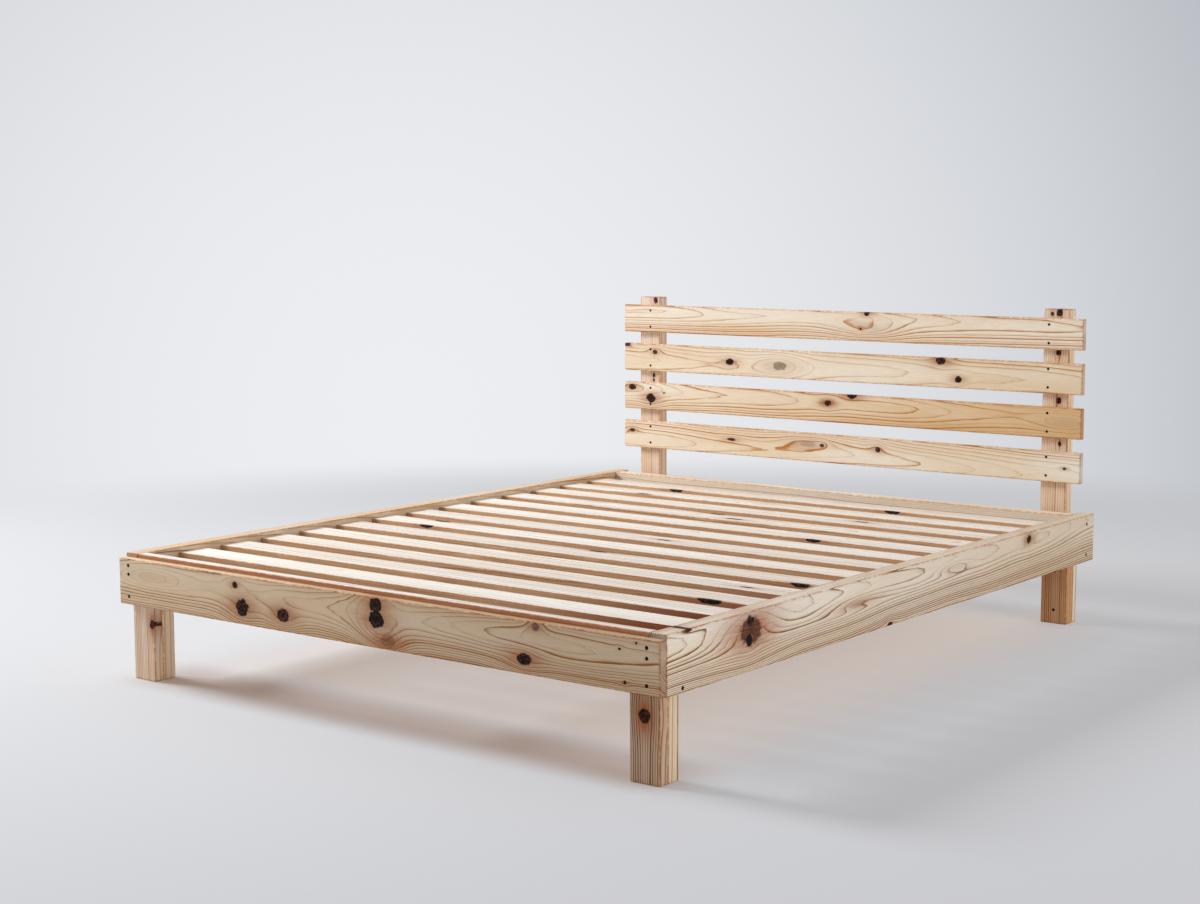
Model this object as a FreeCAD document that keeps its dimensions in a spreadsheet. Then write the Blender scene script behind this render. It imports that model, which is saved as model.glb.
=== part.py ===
import FreeCAD, Part
import os

import Sketcher

# Low floor bed of planed pine for one wide mattress, with a headboard of four boards.
#
# Four rails make a frame that stands on four legs, and a foot board covers the frame at the foot.
# Each leg is two plies side by side: the short ply ends under the frame, and the tall ply rises
# behind it as a tongue. The two posts of the headboard stand on the rear legs' short plies and are
# bolted through the tongues to the head rail. Slats rest on a ledger along each side rail and on a
# beam under the middle, and two webbing bands keep them apart.
#
# The frame of the model: millimetres, X to the right as seen from the foot, Y from foot to head,
# Z up. Z is zero at the floor, and X and Y are zero in the middle of the bed's outline.

SIZES = {
    # The mattress and the room around it inside the frame.
    "mattress_width": 1600,
    "mattress_length": 2000,
    "room_across": 35,
    "room_along": 7,
    # The frame: the height of its underside, and its rails.
    "under_frame": 195,
    "rail_high": 135,
    "side_rail_thick": 45,
    "side_rail_tail": 35,
    "foot_rail_thick": 30,
    "head_rail_thick": 40,
    # The foot board in front of the frame, and how far its lower edge is above the rails'.
    "foot_board_thick": 24,
    "foot_board_high": 120,
    "foot_board_lift": 5,
    # The legs, and how far their outer faces are inside the outer faces of the side rails.
    "leg_wide": 80,
    "short_ply_thick": 28,
    "tall_ply_thick": 40,
    "tongue_high": 101,
    "front_leg_inset": 19,
    "rear_leg_inset": 64,
    # The posts of the headboard.
    "post_wide": 80,
    "post_thick": 40,
    "post_high": 721,
    "post_inset": 92,
    # The boards of the headboard, counted from the top.
    "board_count": 4,
    "board_thick": 20,
    "board_high": 90,
    "board_gap": 39,
    "board_drop": 26,
    "board_inset": 40,
    # The slats, how far they lie below the top of the rails, and the gaps at foot and head.
    "slat_count": 13,
    "slat_thick": 20,
    "slat_wide": 90,
    "slat_drop": 14,
    "slat_play": 1.5,
    "foot_gap": 108,
    "head_gap": 63,
    # The ledgers under the ends of the slats, and the webbing bands stapled under the slats.
    "ledger_thick": 30,
    "ledger_high": 40,
    "band_wide": 25,
    "band_thick": 1.2,
    "band_inset": 45,
    # The beam under the middle of the slats, its leg and the steel hangers at its ends.
    "beam_wide": 45,
    "beam_high": 70,
    "middle_leg_deep": 70,
    "hanger_plate": 2,
    "hanger_reach": 35,
    "hanger_high": 60,
    "hanger_ear": 25,
    # The rounded edges of the planed timber.
    "frame_round": 3,
    "slat_round": 2.5,
    # Wood screws with countersunk heads, and how far the heads lie below the surface.
    "head_depth": 0.7,
    "short_screw": 45,
    "short_shank": 4,
    "short_head": 8,
    "middle_screw": 60,
    "middle_shank": 4.5,
    "middle_head": 9,
    "long_screw": 80,
    "long_shank": 5,
    "long_head": 10,
    "slot_wide": 1.2,
    "slot_share": 0.5,
    "slot_deep": 1.6,
    # Round-head screws of the hangers.
    "round_screw": 28,
    "round_shank": 4,
    "round_head": 8,
    "round_head_high": 2.6,
    # Bolts of the posts, with their washers, nuts and the recesses that hide the nuts.
    "bolt_shank": 8,
    "hex_across": 13,
    "bolt_head_high": 5.3,
    "nut_high": 6.5,
    "washer_wide": 16,
    "washer_thick": 1.6,
    "recess_wide": 24,
    "recess_deep": 10,
    # Dowels of the middle leg and staples of the bands.
    "dowel_wide": 10,
    "dowel_long": 60,
    "staple_wire": 1.2,
    "staple_span": 12,
    "staple_leg": 8,
    # Where the fasteners sit, measured from the edges of the timbers.
    "foot_screw_side": 35,
    "foot_screw_low": 21,
    "foot_screw_middle": 79,
    "foot_screw_high": 102,
    "board_screw_edge": 18,
    "board_screw_side": 25,
    "rail_screw_low": 21,
    "rail_screw_high": 109,
    "rail_screw_back": 12,
    "tongue_screw_low": 11,
    "tongue_screw_high": 70,
    "tongue_screw_back": 12,
    "foot_rail_screw_low": 48,
    "foot_rail_screw_high": 90,
    "ply_screw_low": 40,
    "ply_screw_high": 155,
    "bolt_low": 35,
    "bolt_high": 80,
    "ledger_screw_end": 60,
    "ledger_screw_count": 7,
    "tie_count": 4,
    "tie_end": 160,
    "tie_high": 70,
}

# Shared places, written with the driving sizes.
RECESS_WIDE = "(bed.mattress_width + bed.room_across)"
RECESS_LONG = "(bed.mattress_length + bed.room_along)"
RAIL_INSIDE = f"({RECESS_WIDE} / 2)"
RAIL_OUTSIDE = f"({RAIL_INSIDE} + bed.side_rail_thick)"
LENGTH = (
    f"(bed.foot_board_thick + bed.foot_rail_thick + {RECESS_LONG}"
    " + bed.head_rail_thick + bed.tall_ply_thick + bed.post_thick)"
)

# Along the bed: faces from foot to head.
FOOT_FACE = f"(-{LENGTH} / 2)"
FOOT_RAIL_FACE = f"({FOOT_FACE} + bed.foot_board_thick)"
RECESS_FOOT = f"({FOOT_RAIL_FACE} + bed.foot_rail_thick)"
RECESS_HEAD = f"({RECESS_FOOT} + {RECESS_LONG})"
HEAD_RAIL_BACK = f"({RECESS_HEAD} + bed.head_rail_thick)"
POST_FACE = f"({HEAD_RAIL_BACK} + bed.tall_ply_thick)"
TONGUE_BACK = f"({RECESS_FOOT} + bed.tall_ply_thick)"

# Heights above the floor.
RAIL_TOP = "(bed.under_frame + bed.rail_high)"
SLAT_TOP = f"({RAIL_TOP} - bed.slat_drop)"
SLAT_UNDER = f"({SLAT_TOP} - bed.slat_thick)"
BEAM_UNDER = f"({SLAT_UNDER} - bed.beam_high)"
POST_TOP = "(bed.under_frame + bed.post_high)"
FOOT_BOARD_UNDER = "(bed.under_frame + bed.foot_board_lift)"

# Across the bed: distances from the middle.
FRONT_LEG_OUTSIDE = f"({RAIL_OUTSIDE} - bed.front_leg_inset)"
REAR_LEG_OUTSIDE = f"({RAIL_OUTSIDE} - bed.rear_leg_inset)"
NOTCH_WIDE = "(bed.side_rail_thick - bed.front_leg_inset)"
TONGUE_WIDE = f"(bed.leg_wide - {NOTCH_WIDE})"
POST_OUTSIDE = f"({RAIL_OUTSIDE} - bed.post_inset)"
POST_INSIDE = f"({POST_OUTSIDE} - bed.post_wide)"
BOARD_HALF = f"({RAIL_OUTSIDE} - bed.board_inset)"
SLAT_HALF = f"({RAIL_INSIDE} - bed.slat_play)"
LEDGER_INSIDE = f"({RAIL_INSIDE} - bed.ledger_thick)"
BAND_OUTSIDE = f"({LEDGER_INSIDE} - bed.band_inset)"
BAND_MIDDLE = f"({BAND_OUTSIDE} - bed.band_wide / 2)"

# The slats share the room between the two end gaps evenly.
SLAT_PITCH = (
    f"(({RECESS_LONG} - bed.foot_gap - bed.head_gap - bed.slat_wide) / (bed.slat_count - 1))"
)

SIDES = {"left": -1, "right": 1}
AXES = {"x": 0, "y": 1, "z": 2}

# For each direction: the origin plane square to it, and the directions its sketches run in.
PLANES = {"x": ("YZ_Plane", "y", "z"), "y": ("XZ_Plane", "x", "z"), "z": ("XY_Plane", "x", "y")}

# For each face of a timber: the direction square to it, whether it is the far face, and whether a
# cut into the timber runs against the usual direction of a cut from that plane.
FACES = {
    "left": ("x", False, True),
    "right": ("x", True, False),
    "front": ("y", False, False),
    "back": ("y", True, True),
    "bottom": ("z", False, True),
    "top": ("z", True, False),
}

doc = FreeCAD.newDocument("floor_bed")
sheet = doc.addObject("Spreadsheet::Sheet", "bed")
for row, (name, size) in enumerate(SIZES.items(), start=1):
    sheet.set(f"A{row}", name)
    sheet.set(f"B{row}", str(size))
    sheet.setAlias(f"B{row}", name)
doc.recompute()

# Every finished piece of the bed, in the order in which it is made.
pieces = []


def value(expression):
    """The present value of an expression of driving sizes."""
    return float(sheet.evalExpression(str(expression)))


def count(name):
    """A driving size that counts things."""
    return int(value(f"bed.{name}"))


def place(item, corner):
    """Tie the position of an item to three expressions."""
    for axis, expression in zip("xyz", corner):
        item.setExpression(f"Placement.Base.{axis}", str(expression))


def new_sketch(body, name, axis, offset=None):
    """A sketch on the body's origin plane square to an axis, moved along that axis by an offset."""
    role = PLANES[axis][0]
    sketch = body.newObject("Sketcher::SketchObject", name)
    plane = next(item for item in body.Origin.OriginFeatures if item.Role == role)
    sketch.AttachmentSupport = [(plane, "")]
    sketch.MapMode = "FlatFace"
    if offset is not None:
        # The plane square to Y faces the other way from the Y axis.
        sign = "-1" if axis == "y" else "1"
        sketch.setExpression("AttachmentOffset.Base.z", f"{sign} * ({offset})")
    return sketch


def pin(sketch, geometry, point, where):
    """Tie a point of the sketch to a place given by two expressions."""
    for kind, expression in zip(("DistanceX", "DistanceY"), where):
        distance = Sketcher.Constraint(kind, -1, 1, geometry, point, value(expression))
        index = sketch.addConstraint(distance)
        sketch.setExpression(f"Constraints[{index}]", str(expression))


def draw_outline(sketch, corners):
    """A closed outline of straight lines through the given corners."""
    points = [FreeCAD.Vector(value(across), value(up), 0) for across, up in corners]
    total = len(points)
    lines = [
        sketch.addGeometry(Part.LineSegment(points[index], points[(index + 1) % total]))
        for index in range(total)
    ]
    for index, line in enumerate(lines):
        sketch.addConstraint(Sketcher.Constraint("Coincident", line, 2, lines[(index + 1) % total], 1))
        pin(sketch, line, 1, corners[index])


def draw_rectangle(sketch, low, high):
    """A rectangle between two corners."""
    draw_outline(sketch, [low, (high[0], low[1]), high, (low[0], high[1])])


def draw_circles(sketch, centers, diameter):
    """Circles of one diameter round the given centres."""
    for across, up in centers:
        center = FreeCAD.Vector(value(across), value(up), 0)
        circle = sketch.addGeometry(Part.Circle(center, FreeCAD.Vector(0, 0, 1), value(diameter) / 2))
        pin(sketch, circle, 3, (across, up))
        index = sketch.addConstraint(Sketcher.Constraint("Diameter", circle, value(diameter)))
        sketch.setExpression(f"Constraints[{index}]", str(diameter))


class Timber:
    """A planed timber: a rectangular section, extruded along the grain, with rounded edges."""

    def __init__(self, name, grain, size, corner, edge_round="bed.frame_round"):
        self.size = size
        self.corner = corner
        self.body = doc.addObject("PartDesign::Body", name)
        self.body.Label = name
        _, across, up = PLANES[grain]
        section = new_sketch(self.body, f"{name}_section", grain)
        draw_rectangle(section, ("0", "0"), (size[AXES[across]], size[AXES[up]]))
        length = self.body.newObject("PartDesign::Pad", f"{name}_length")
        length.Profile = section
        length.setExpression("Length", size[AXES[grain]])
        length.Reversed = grain == "y"
        doc.recompute()
        if edge_round:
            edges = self.body.newObject("PartDesign::Fillet", f"{name}_edges")
            edges.Base = (length, [f"Edge{index}" for index in range(1, 13)])
            edges.setExpression("Radius", edge_round)
        place(self.body, corner)
        doc.recompute()
        pieces.append(self.body)

    def local(self, axis, expression):
        """A place in the bed, measured from this timber's corner."""
        return f"({expression}) - ({self.corner[AXES[axis]]})"

    def face_sketch(self, name, face):
        """A sketch on one face, with the directions in which it runs."""
        axis, far, against = FACES[face]
        offset = self.size[AXES[axis]] if far else None
        sketch = new_sketch(self.body, f"{self.body.Label}_{name}", axis, offset)
        _, across, up = PLANES[axis]
        return sketch, across, up, against

    def cut(self, feature):
        """Check that a cut took wood away."""
        before = feature.BaseFeature.Shape.Volume
        doc.recompute()
        if feature.Shape.Volume > before - 0.1:
            raise ValueError(f"{feature.Label} cuts nothing")

    def notch(self, name, face, low, high):
        """Saw a rectangle right through, seen on one face."""
        sketch, across, up, against = self.face_sketch(name, face)
        corners = [
            (self.local(across, point[0]), self.local(up, point[1])) for point in (low, high)
        ]
        draw_rectangle(sketch, *corners)
        pocket = self.body.newObject("PartDesign::Pocket", f"{name}_cut")
        pocket.Profile = sketch
        pocket.Type = "ThroughAll"
        pocket.Reversed = against
        self.cut(pocket)

    def drill(self, name, face, places, diameter, depth=None, sink=None, recess=None):
        """Drill holes in one face, at places across the bed.

        Without a depth they go right through. A sink is the width of a countersink at the surface,
        and a recess is the width and depth of a flat counterbore.
        """
        sketch, across, up, against = self.face_sketch(name, face)
        centers = [(self.local(across, spot[0]), self.local(up, spot[1])) for spot in places]
        draw_circles(sketch, centers, diameter)
        doc.recompute()
        hole = self.body.newObject("PartDesign::Hole", f"{name}_holes")
        hole.Profile = sketch
        doc.recompute()
        hole.Threaded = False
        hole.setExpression("Diameter", diameter)
        hole.DrillPoint = "Flat"
        hole.Reversed = against
        if depth is None:
            hole.DepthType = "ThroughAll"
        else:
            hole.DepthType = "Dimension"
            hole.setExpression("Depth", depth)
        if sink:
            hole.HoleCutType = "Countersink"
            hole.HoleCutCustomValues = True
            hole.setExpression("HoleCutDiameter", sink)
            hole.HoleCutCountersinkAngle = 90
        if recess:
            hole.HoleCutType = "Counterbore"
            hole.HoleCutCustomValues = True
            hole.setExpression("HoleCutDiameter", recess[0])
            hole.setExpression("HoleCutDepth", recess[1])
        self.cut(hole)


def mirrored(side, low, high):
    """The smaller X of a piece that lies between two distances from the middle."""
    return low if side == "right" else f"(-{high})"


def at_side(side, distance):
    """A distance from the middle, as X."""
    return f"({SIDES[side]} * {distance})"


def evenly(low, high, number):
    """Places spread evenly between two expressions, both ends included."""
    return [f"({low} + ({high} - {low}) * {step} / {number - 1})" for step in range(number)]


# Fasteners. Each kind is made once, upright, its head at the origin and its point downwards. One
# node then holds all that do the same work in the bed.

TURNS = {
    # The direction in which the point of a fastener faces, as the turn that brings it there.
    "-z": FreeCAD.Rotation(),
    "+z": FreeCAD.Rotation(FreeCAD.Vector(1, 0, 0), 180),
    "+x": FreeCAD.Rotation(FreeCAD.Vector(0, 1, 0), -90),
    "-x": FreeCAD.Rotation(FreeCAD.Vector(0, 1, 0), 90),
    "+y": FreeCAD.Rotation(FreeCAD.Vector(1, 0, 0), 90),
    "-y": FreeCAD.Rotation(FreeCAD.Vector(1, 0, 0), -90),
}


def turned_body(name, outline):
    """A body turned round the upright axis from half of its outline."""
    body = doc.addObject("PartDesign::Body", name)
    body.Label = name
    half = new_sketch(body, f"{name}_half", "y")
    draw_outline(half, outline)
    turn = body.newObject("PartDesign::Revolution", f"{name}_turned")
    turn.Profile = half
    turn.ReferenceAxis = (half, ["V_Axis"])
    turn.Angle = 360
    doc.recompute()
    return body


def slot_head(body, head, top="0"):
    """Cut a cross into the head of a screw."""
    reach = f"({head} * bed.slot_share / 2)"
    half = "(bed.slot_wide / 2)"
    cross = [
        (reach, f"-{half}"), (reach, half), (half, half), (half, reach),
        (f"-{half}", reach), (f"-{half}", half), (f"-{reach}", half), (f"-{reach}", f"-{half}"),
        (f"-{half}", f"-{half}"), (f"-{half}", f"-{reach}"), (half, f"-{reach}"), (half, f"-{half}"),
    ]
    sketch = new_sketch(body, f"{body.Label}_cross", "z", top)
    draw_outline(sketch, cross)
    before = body.Shape.Volume
    pocket = body.newObject("PartDesign::Pocket", f"{body.Label}_slot")
    pocket.Profile = sketch
    pocket.setExpression("Length", "bed.slot_deep")
    doc.recompute()
    if body.Shape.Volume > before - 0.1:
        raise ValueError(f"{body.Label} has no cross in its head")


def wood_screw(kind):
    """A countersunk wood screw whose sizes carry the name of its kind."""
    shank = f"bed.{kind}_shank"
    head = f"bed.{kind}_head"
    length = f"bed.{kind}_screw"
    body = turned_body(f"{kind}_wood_screw", [
        ("0", "0"),
        (f"{head} / 2", "0"),
        (f"{shank} / 2", f"-({head} - {shank}) / 2"),
        (f"{shank} / 2", f"-({length} - {shank})"),
        ("0", f"-{length}"),
    ])
    slot_head(body, head)
    return body


def round_screw():
    """A round-head wood screw for sheet steel. Its origin is under the head."""
    body = turned_body("round_head_screw", [
        ("0", "bed.round_head_high"),
        ("bed.round_head / 2 - bed.round_head_high / 2", "bed.round_head_high"),
        ("bed.round_head / 2", "bed.round_head_high / 2"),
        ("bed.round_head / 2", "0"),
        ("bed.round_shank / 2", "0"),
        ("bed.round_shank / 2", "-(bed.round_screw - bed.round_shank)"),
        ("0", "-bed.round_screw"),
    ])
    slot_head(body, "bed.round_head", "bed.round_head_high")
    return body


def hexagon(name, height):
    """A six-sided prism over the origin."""
    prism = doc.addObject("Part::Prism", name)
    prism.Polygon = 6
    prism.setExpression("Circumradius", "bed.hex_across / 2 / cos(30)")
    prism.setExpression("Height", height)
    return prism


def cylinder(name, diameter, height):
    """A round bar over the origin."""
    bar = doc.addObject("Part::Cylinder", name)
    bar.setExpression("Radius", f"{diameter} / 2")
    bar.setExpression("Height", height)
    return bar


def combine(kind, name, base, tool):
    """Join or cut two shapes."""
    result = doc.addObject(kind, name)
    result.Base = base
    result.Tool = tool
    doc.recompute()
    return result


def place_fasteners(name, model, spots):
    """One node of equal fasteners, each a separate solid. A spot is a direction and a place."""
    links = []
    for index, (direction, corner) in enumerate(spots, start=1):
        link = doc.addObject("App::Link", f"{name}_{index}")
        link.LinkedObject = model
        link.Placement = FreeCAD.Placement(FreeCAD.Vector(), TURNS[direction])
        place(link, corner)
        links.append(link)
    compound = doc.addObject("Part::Compound", name)
    compound.Label = name
    compound.Links = links
    doc.recompute()
    pieces.append(compound)


def screw_together(kind, name, through, into, face, places, wall=None, gap="0"):
    """Screw one timber to the next and return where the screws go.

    The heads lie in a face of the first timber, and the same face of the next one meets the first.
    The wall is what the screw passes in the first timber, where that isn't its full size. The gap
    is how far the next timber's wood lies below its own face.
    """
    axis, far, _ = FACES[face]
    index = AXES[axis]
    wall = wall or through.size[index]
    shank = f"bed.{kind}_shank"
    countersink = f"(bed.{kind}_head + 2 * bed.head_depth)"
    grip = f"(bed.{kind}_screw + bed.head_depth - {wall} + {gap})"
    through.drill(name, face, places, shank, sink=countersink)
    into.drill(f"{name}_pilot", face, places, shank, depth=grip)
    surface = through.corner[index]
    if far:
        surface = f"({surface} + {through.size[index]})"
    inward = "-" if far else "+"
    head = f"({surface} {inward} bed.head_depth)"
    spots = []
    for first, second in places:
        corner = [first, second]
        corner.insert(index, head)
        spots.append((inward + axis, corner))
    return spots


# Places that a fastener shares with the holes it fills.
BOLT_X = f"({REAR_LEG_OUTSIDE} - bed.leg_wide + {TONGUE_WIDE} / 2)"
BOLT_HEIGHTS = ["(bed.under_frame + bed.bolt_low)", "(bed.under_frame + bed.bolt_high)"]
TONGUE_MIDDLE_X = f"({RAIL_INSIDE} - {TONGUE_WIDE} / 2)"
TONGUE_MIDDLE_Y = f"({RECESS_FOOT} + bed.tall_ply_thick / 2)"
BEAM_MIDDLE_Y = f"(({RECESS_FOOT} + {RECESS_HEAD}) / 2)"
POST_BACK = f"({POST_FACE} + bed.post_thick)"
# The bolts are as long as the three timbers together are thick. The recess in the post makes room
# for the washers and the nut.
BOLT_LONG = "(bed.head_rail_thick + bed.tall_ply_thick + bed.post_thick)"
SLAT_FRONTS = [
    f"({RECESS_FOOT} + bed.foot_gap + {index} * {SLAT_PITCH})"
    for index in range(count("slat_count"))
]


def inner_face(side):
    """The face of a timber that looks to the middle of the bed."""
    return "left" if side == "right" else "right"


def make_side_rails():
    """The side rails, which run from the foot board to behind the head rail."""
    length = f"({HEAD_RAIL_BACK} + bed.side_rail_tail - {FOOT_RAIL_FACE})"
    return {
        side: Timber(
            f"side_rail_{side}", "y",
            ("bed.side_rail_thick", length, "bed.rail_high"),
            (mirrored(side, RAIL_INSIDE, RAIL_OUTSIDE), FOOT_RAIL_FACE, "bed.under_frame"),
        )
        for side in SIDES
    }


def make_end_rail(name, thick, face):
    """A rail that closes the frame between the side rails."""
    return Timber(
        name, "x",
        (RECESS_WIDE, thick, "bed.rail_high"),
        (f"(-{RAIL_INSIDE})", face, "bed.under_frame"),
    )


def make_foot_board():
    """The board that covers the foot of the frame."""
    return Timber(
        "foot_board", "x",
        (f"(2 * {RAIL_OUTSIDE})", "bed.foot_board_thick", "bed.foot_board_high"),
        (f"(-{RAIL_OUTSIDE})", FOOT_FACE, FOOT_BOARD_UNDER),
    )


def make_tall_ply(end, side, outside, face):
    """The ply of a leg that rises behind the frame as a tongue, notched on its outer side."""
    ply = Timber(
        f"leg_tall_{end}_{side}", "z",
        ("bed.leg_wide", "bed.tall_ply_thick", "(bed.under_frame + bed.tongue_high)"),
        (mirrored(side, f"({outside} - bed.leg_wide)", outside), face, "0"),
    )
    shoulder = mirrored(side, f"({outside} - {NOTCH_WIDE})", outside)
    low = (shoulder, "bed.under_frame")
    high = (f"({shoulder} + {NOTCH_WIDE})", "(bed.under_frame + bed.tongue_high)")
    ply.notch("shoulder", "front", low, high)
    return ply


def make_short_ply(end, side, outside, face):
    """The ply of a leg that ends under the frame or under the post."""
    return Timber(
        f"leg_short_{end}_{side}", "z",
        ("bed.leg_wide", "bed.short_ply_thick", "bed.under_frame"),
        (mirrored(side, f"({outside} - bed.leg_wide)", outside), face, "0"),
    )


def make_post(side):
    """A post of the headboard, standing on the rear leg's short ply."""
    return Timber(
        f"head_post_{side}", "z",
        ("bed.post_wide", "bed.post_thick", "bed.post_high"),
        (mirrored(side, POST_INSIDE, POST_OUTSIDE), POST_FACE, "bed.under_frame"),
    )


def make_headboard_board(index):
    """A board across the front of the posts, counted from the top."""
    drop = f"(bed.board_drop + bed.board_high + {index} * (bed.board_high + bed.board_gap))"
    return Timber(
        f"headboard_board_{index + 1}", "x",
        (f"(2 * {BOARD_HALF})", "bed.board_thick", "bed.board_high"),
        (f"(-{BOARD_HALF})", f"({POST_FACE} - bed.board_thick)", f"({POST_TOP} - {drop})"),
    )


def make_slat(index):
    """A slat of the deck, counted from the foot."""
    return Timber(
        f"slat_{index + 1:02d}", "x",
        (f"(2 * {SLAT_HALF})", "bed.slat_wide", "bed.slat_thick"),
        (f"(-{SLAT_HALF})", SLAT_FRONTS[index], SLAT_UNDER),
        "bed.slat_round",
    )


def make_ledger(side):
    """The batten on a side rail that carries the ends of the slats."""
    return Timber(
        f"slat_ledger_{side}", "y",
        ("bed.ledger_thick", f"({RECESS_HEAD} - {TONGUE_BACK})", "bed.ledger_high"),
        (mirrored(side, LEDGER_INSIDE, RAIL_INSIDE), TONGUE_BACK, f"({SLAT_UNDER} - bed.ledger_high)"),
        "bed.slat_round",
    )


def make_band(side):
    """The webbing band under the slats at one side."""
    length = f"({SLAT_FRONTS[-1]} + bed.slat_wide - {SLAT_FRONTS[0]})"
    inside = f"({BAND_OUTSIDE} - bed.band_wide)"
    return Timber(
        f"slat_band_{side}", "y",
        ("bed.band_wide", length, "bed.band_thick"),
        (mirrored(side, inside, BAND_OUTSIDE), SLAT_FRONTS[0], f"({SLAT_UNDER} - bed.band_thick)"),
        None,
    )


def make_beam():
    """The beam under the middle of the slats, from the foot rail to the head rail."""
    return Timber(
        "center_beam", "y",
        ("bed.beam_wide", RECESS_LONG, "bed.beam_high"),
        ("(-bed.beam_wide / 2)", RECESS_FOOT, BEAM_UNDER),
        "bed.slat_round",
    )


def make_middle_leg():
    """The leg under the middle of the beam."""
    return Timber(
        "center_leg", "z",
        ("bed.beam_wide", "bed.middle_leg_deep", BEAM_UNDER),
        ("(-bed.beam_wide / 2)", f"({BEAM_MIDDLE_Y} - bed.middle_leg_deep / 2)", "0"),
        "bed.slat_round",
    )


EAR_MIDDLE = "(bed.beam_wide / 2 + bed.hanger_plate + bed.hanger_ear / 2)"
EAR_HEIGHTS = ["(bed.hanger_high / 4)", "(bed.hanger_high * 3 / 4)"]


def make_hanger(end, face):
    """A bent steel hanger: a trough for the beam and an ear at each side, against a rail."""
    body = doc.addObject("PartDesign::Body", f"beam_hanger_{end}")
    body.Label = f"beam_hanger_{end}"
    inside = "(bed.beam_wide / 2)"
    outside = f"({inside} + bed.hanger_plate)"
    trough = new_sketch(body, f"hanger_{end}_trough", "y")
    draw_outline(trough, [
        (f"-{outside}", "-bed.hanger_plate"), (outside, "-bed.hanger_plate"),
        (outside, "bed.hanger_high"), (inside, "bed.hanger_high"), (inside, "0"),
        (f"-{inside}", "0"), (f"-{inside}", "bed.hanger_high"), (f"-{outside}", "bed.hanger_high"),
    ])
    seat = body.newObject("PartDesign::Pad", f"hanger_{end}_seat")
    seat.Profile = trough
    seat.setExpression("Length", "bed.hanger_reach")
    seat.Reversed = end == "foot"
    doc.recompute()
    ears = new_sketch(body, f"hanger_{end}_ears", "y")
    reach = f"({outside} + bed.hanger_ear)"
    draw_rectangle(ears, (outside, "0"), (reach, "bed.hanger_high"))
    draw_rectangle(ears, (f"-{reach}", "0"), (f"-{outside}", "bed.hanger_high"))
    draw_circles(ears, both_sides(EAR_MIDDLE, EAR_HEIGHTS), "bed.round_shank")
    plate = body.newObject("PartDesign::Pad", f"hanger_{end}_plate")
    plate.Profile = ears
    plate.setExpression("Length", "bed.hanger_plate")
    plate.Reversed = end == "foot"
    place(body, ("0", face, BEAM_UNDER))
    doc.recompute()
    pieces.append(body)


def both_sides(distance, heights):
    """Places at one distance left and right of the middle, at every height."""
    return [(at_side(side, distance), height) for side in SIDES for height in heights]


def hang_beam(foot_rail, head_rail):
    """The hangers at both ends of the beam, with their screws."""
    spots = []
    heights = [f"({BEAM_UNDER} + {height})" for height in EAR_HEIGHTS]
    places = both_sides(EAR_MIDDLE, heights)
    depth = "(bed.round_screw - bed.hanger_plate)"
    for end, rail, face, rail_face, inward in (
        ("foot", foot_rail, RECESS_FOOT, "back", "-"),
        ("head", head_rail, RECESS_HEAD, "front", "+"),
    ):
        make_hanger(end, face)
        rail.drill("hanger", rail_face, places, "bed.round_shank", depth=depth)
        outward = "+" if inward == "-" else "-"
        under_head = f"({face} {outward} bed.hanger_plate)"
        spots += [(f"{inward}y", (across, under_head, up)) for across, up in places]
    place_fasteners("hanger_screws", round_screw(), spots)


def stand_middle_leg(beam):
    """The middle leg, with two dowels between it and the beam."""
    leg = make_middle_leg()
    places = [
        ("0", f"({BEAM_MIDDLE_Y} - bed.middle_leg_deep / 4)"),
        ("0", f"({BEAM_MIDDLE_Y} + bed.middle_leg_deep / 4)"),
    ]
    leg.drill("dowel", "top", places, "bed.dowel_wide", depth="(bed.dowel_long / 2)")
    beam.drill("dowel", "bottom", places, "bed.dowel_wide", depth="(bed.dowel_long / 2)")
    dowel = cylinder("dowel", "bed.dowel_wide", "bed.dowel_long")
    low = f"({BEAM_UNDER} - bed.dowel_long / 2)"
    spots = [("-z", (across, along, low)) for across, along in places]
    place_fasteners("center_leg_dowels", dowel, spots)


def bolt_posts(head_rail, rear_tongues, posts):
    """Bolts through the head rail, the rear tongues and the posts."""
    places = both_sides(BOLT_X, BOLT_HEIGHTS)
    head_rail.drill("bolt", "front", places, "bed.bolt_shank")
    for side in SIDES:
        here = [(at_side(side, BOLT_X), height) for height in BOLT_HEIGHTS]
        rear_tongues[side].drill("bolt", "front", here, "bed.bolt_shank")
        recess = ("bed.recess_wide", "bed.recess_deep")
        posts[side].drill("bolt", "back", here, "bed.bolt_shank", recess=recess)

    bolt_head = hexagon("bolt_head", "bed.bolt_head_high")
    bolt_shank = cylinder("bolt_shank", "bed.bolt_shank", BOLT_LONG)
    bolt_shank.setExpression("Placement.Base.z", f"-{BOLT_LONG}")
    bolt = combine("Part::Fuse", "bolt", bolt_head, bolt_shank)
    washer_plate = cylinder("washer_plate", "bed.washer_wide", "bed.washer_thick")
    washer_bore = cylinder("washer_bore", "bed.bolt_shank", "bed.washer_thick")
    washer = combine("Part::Cut", "washer", washer_plate, washer_bore)
    nut_block = hexagon("nut_block", "bed.nut_high")
    nut_bore = cylinder("nut_bore", "bed.bolt_shank", "bed.nut_high")
    nut = combine("Part::Cut", "nut", nut_block, nut_bore)

    under_head = f"({RECESS_HEAD} - bed.washer_thick)"
    recess_floor = f"({POST_BACK} - bed.recess_deep)"
    under_nut = f"({recess_floor} + bed.washer_thick)"
    place_fasteners("post_bolts", bolt, [("+y", (x, under_head, z)) for x, z in places])
    washer_spots = [("+y", (x, RECESS_HEAD, z)) for x, z in places]
    washer_spots += [("-y", (x, recess_floor, z)) for x, z in places]
    place_fasteners("bolt_washers", washer, washer_spots)
    place_fasteners("bolt_nuts", nut, [("-y", (x, under_nut, z)) for x, z in places])


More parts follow.
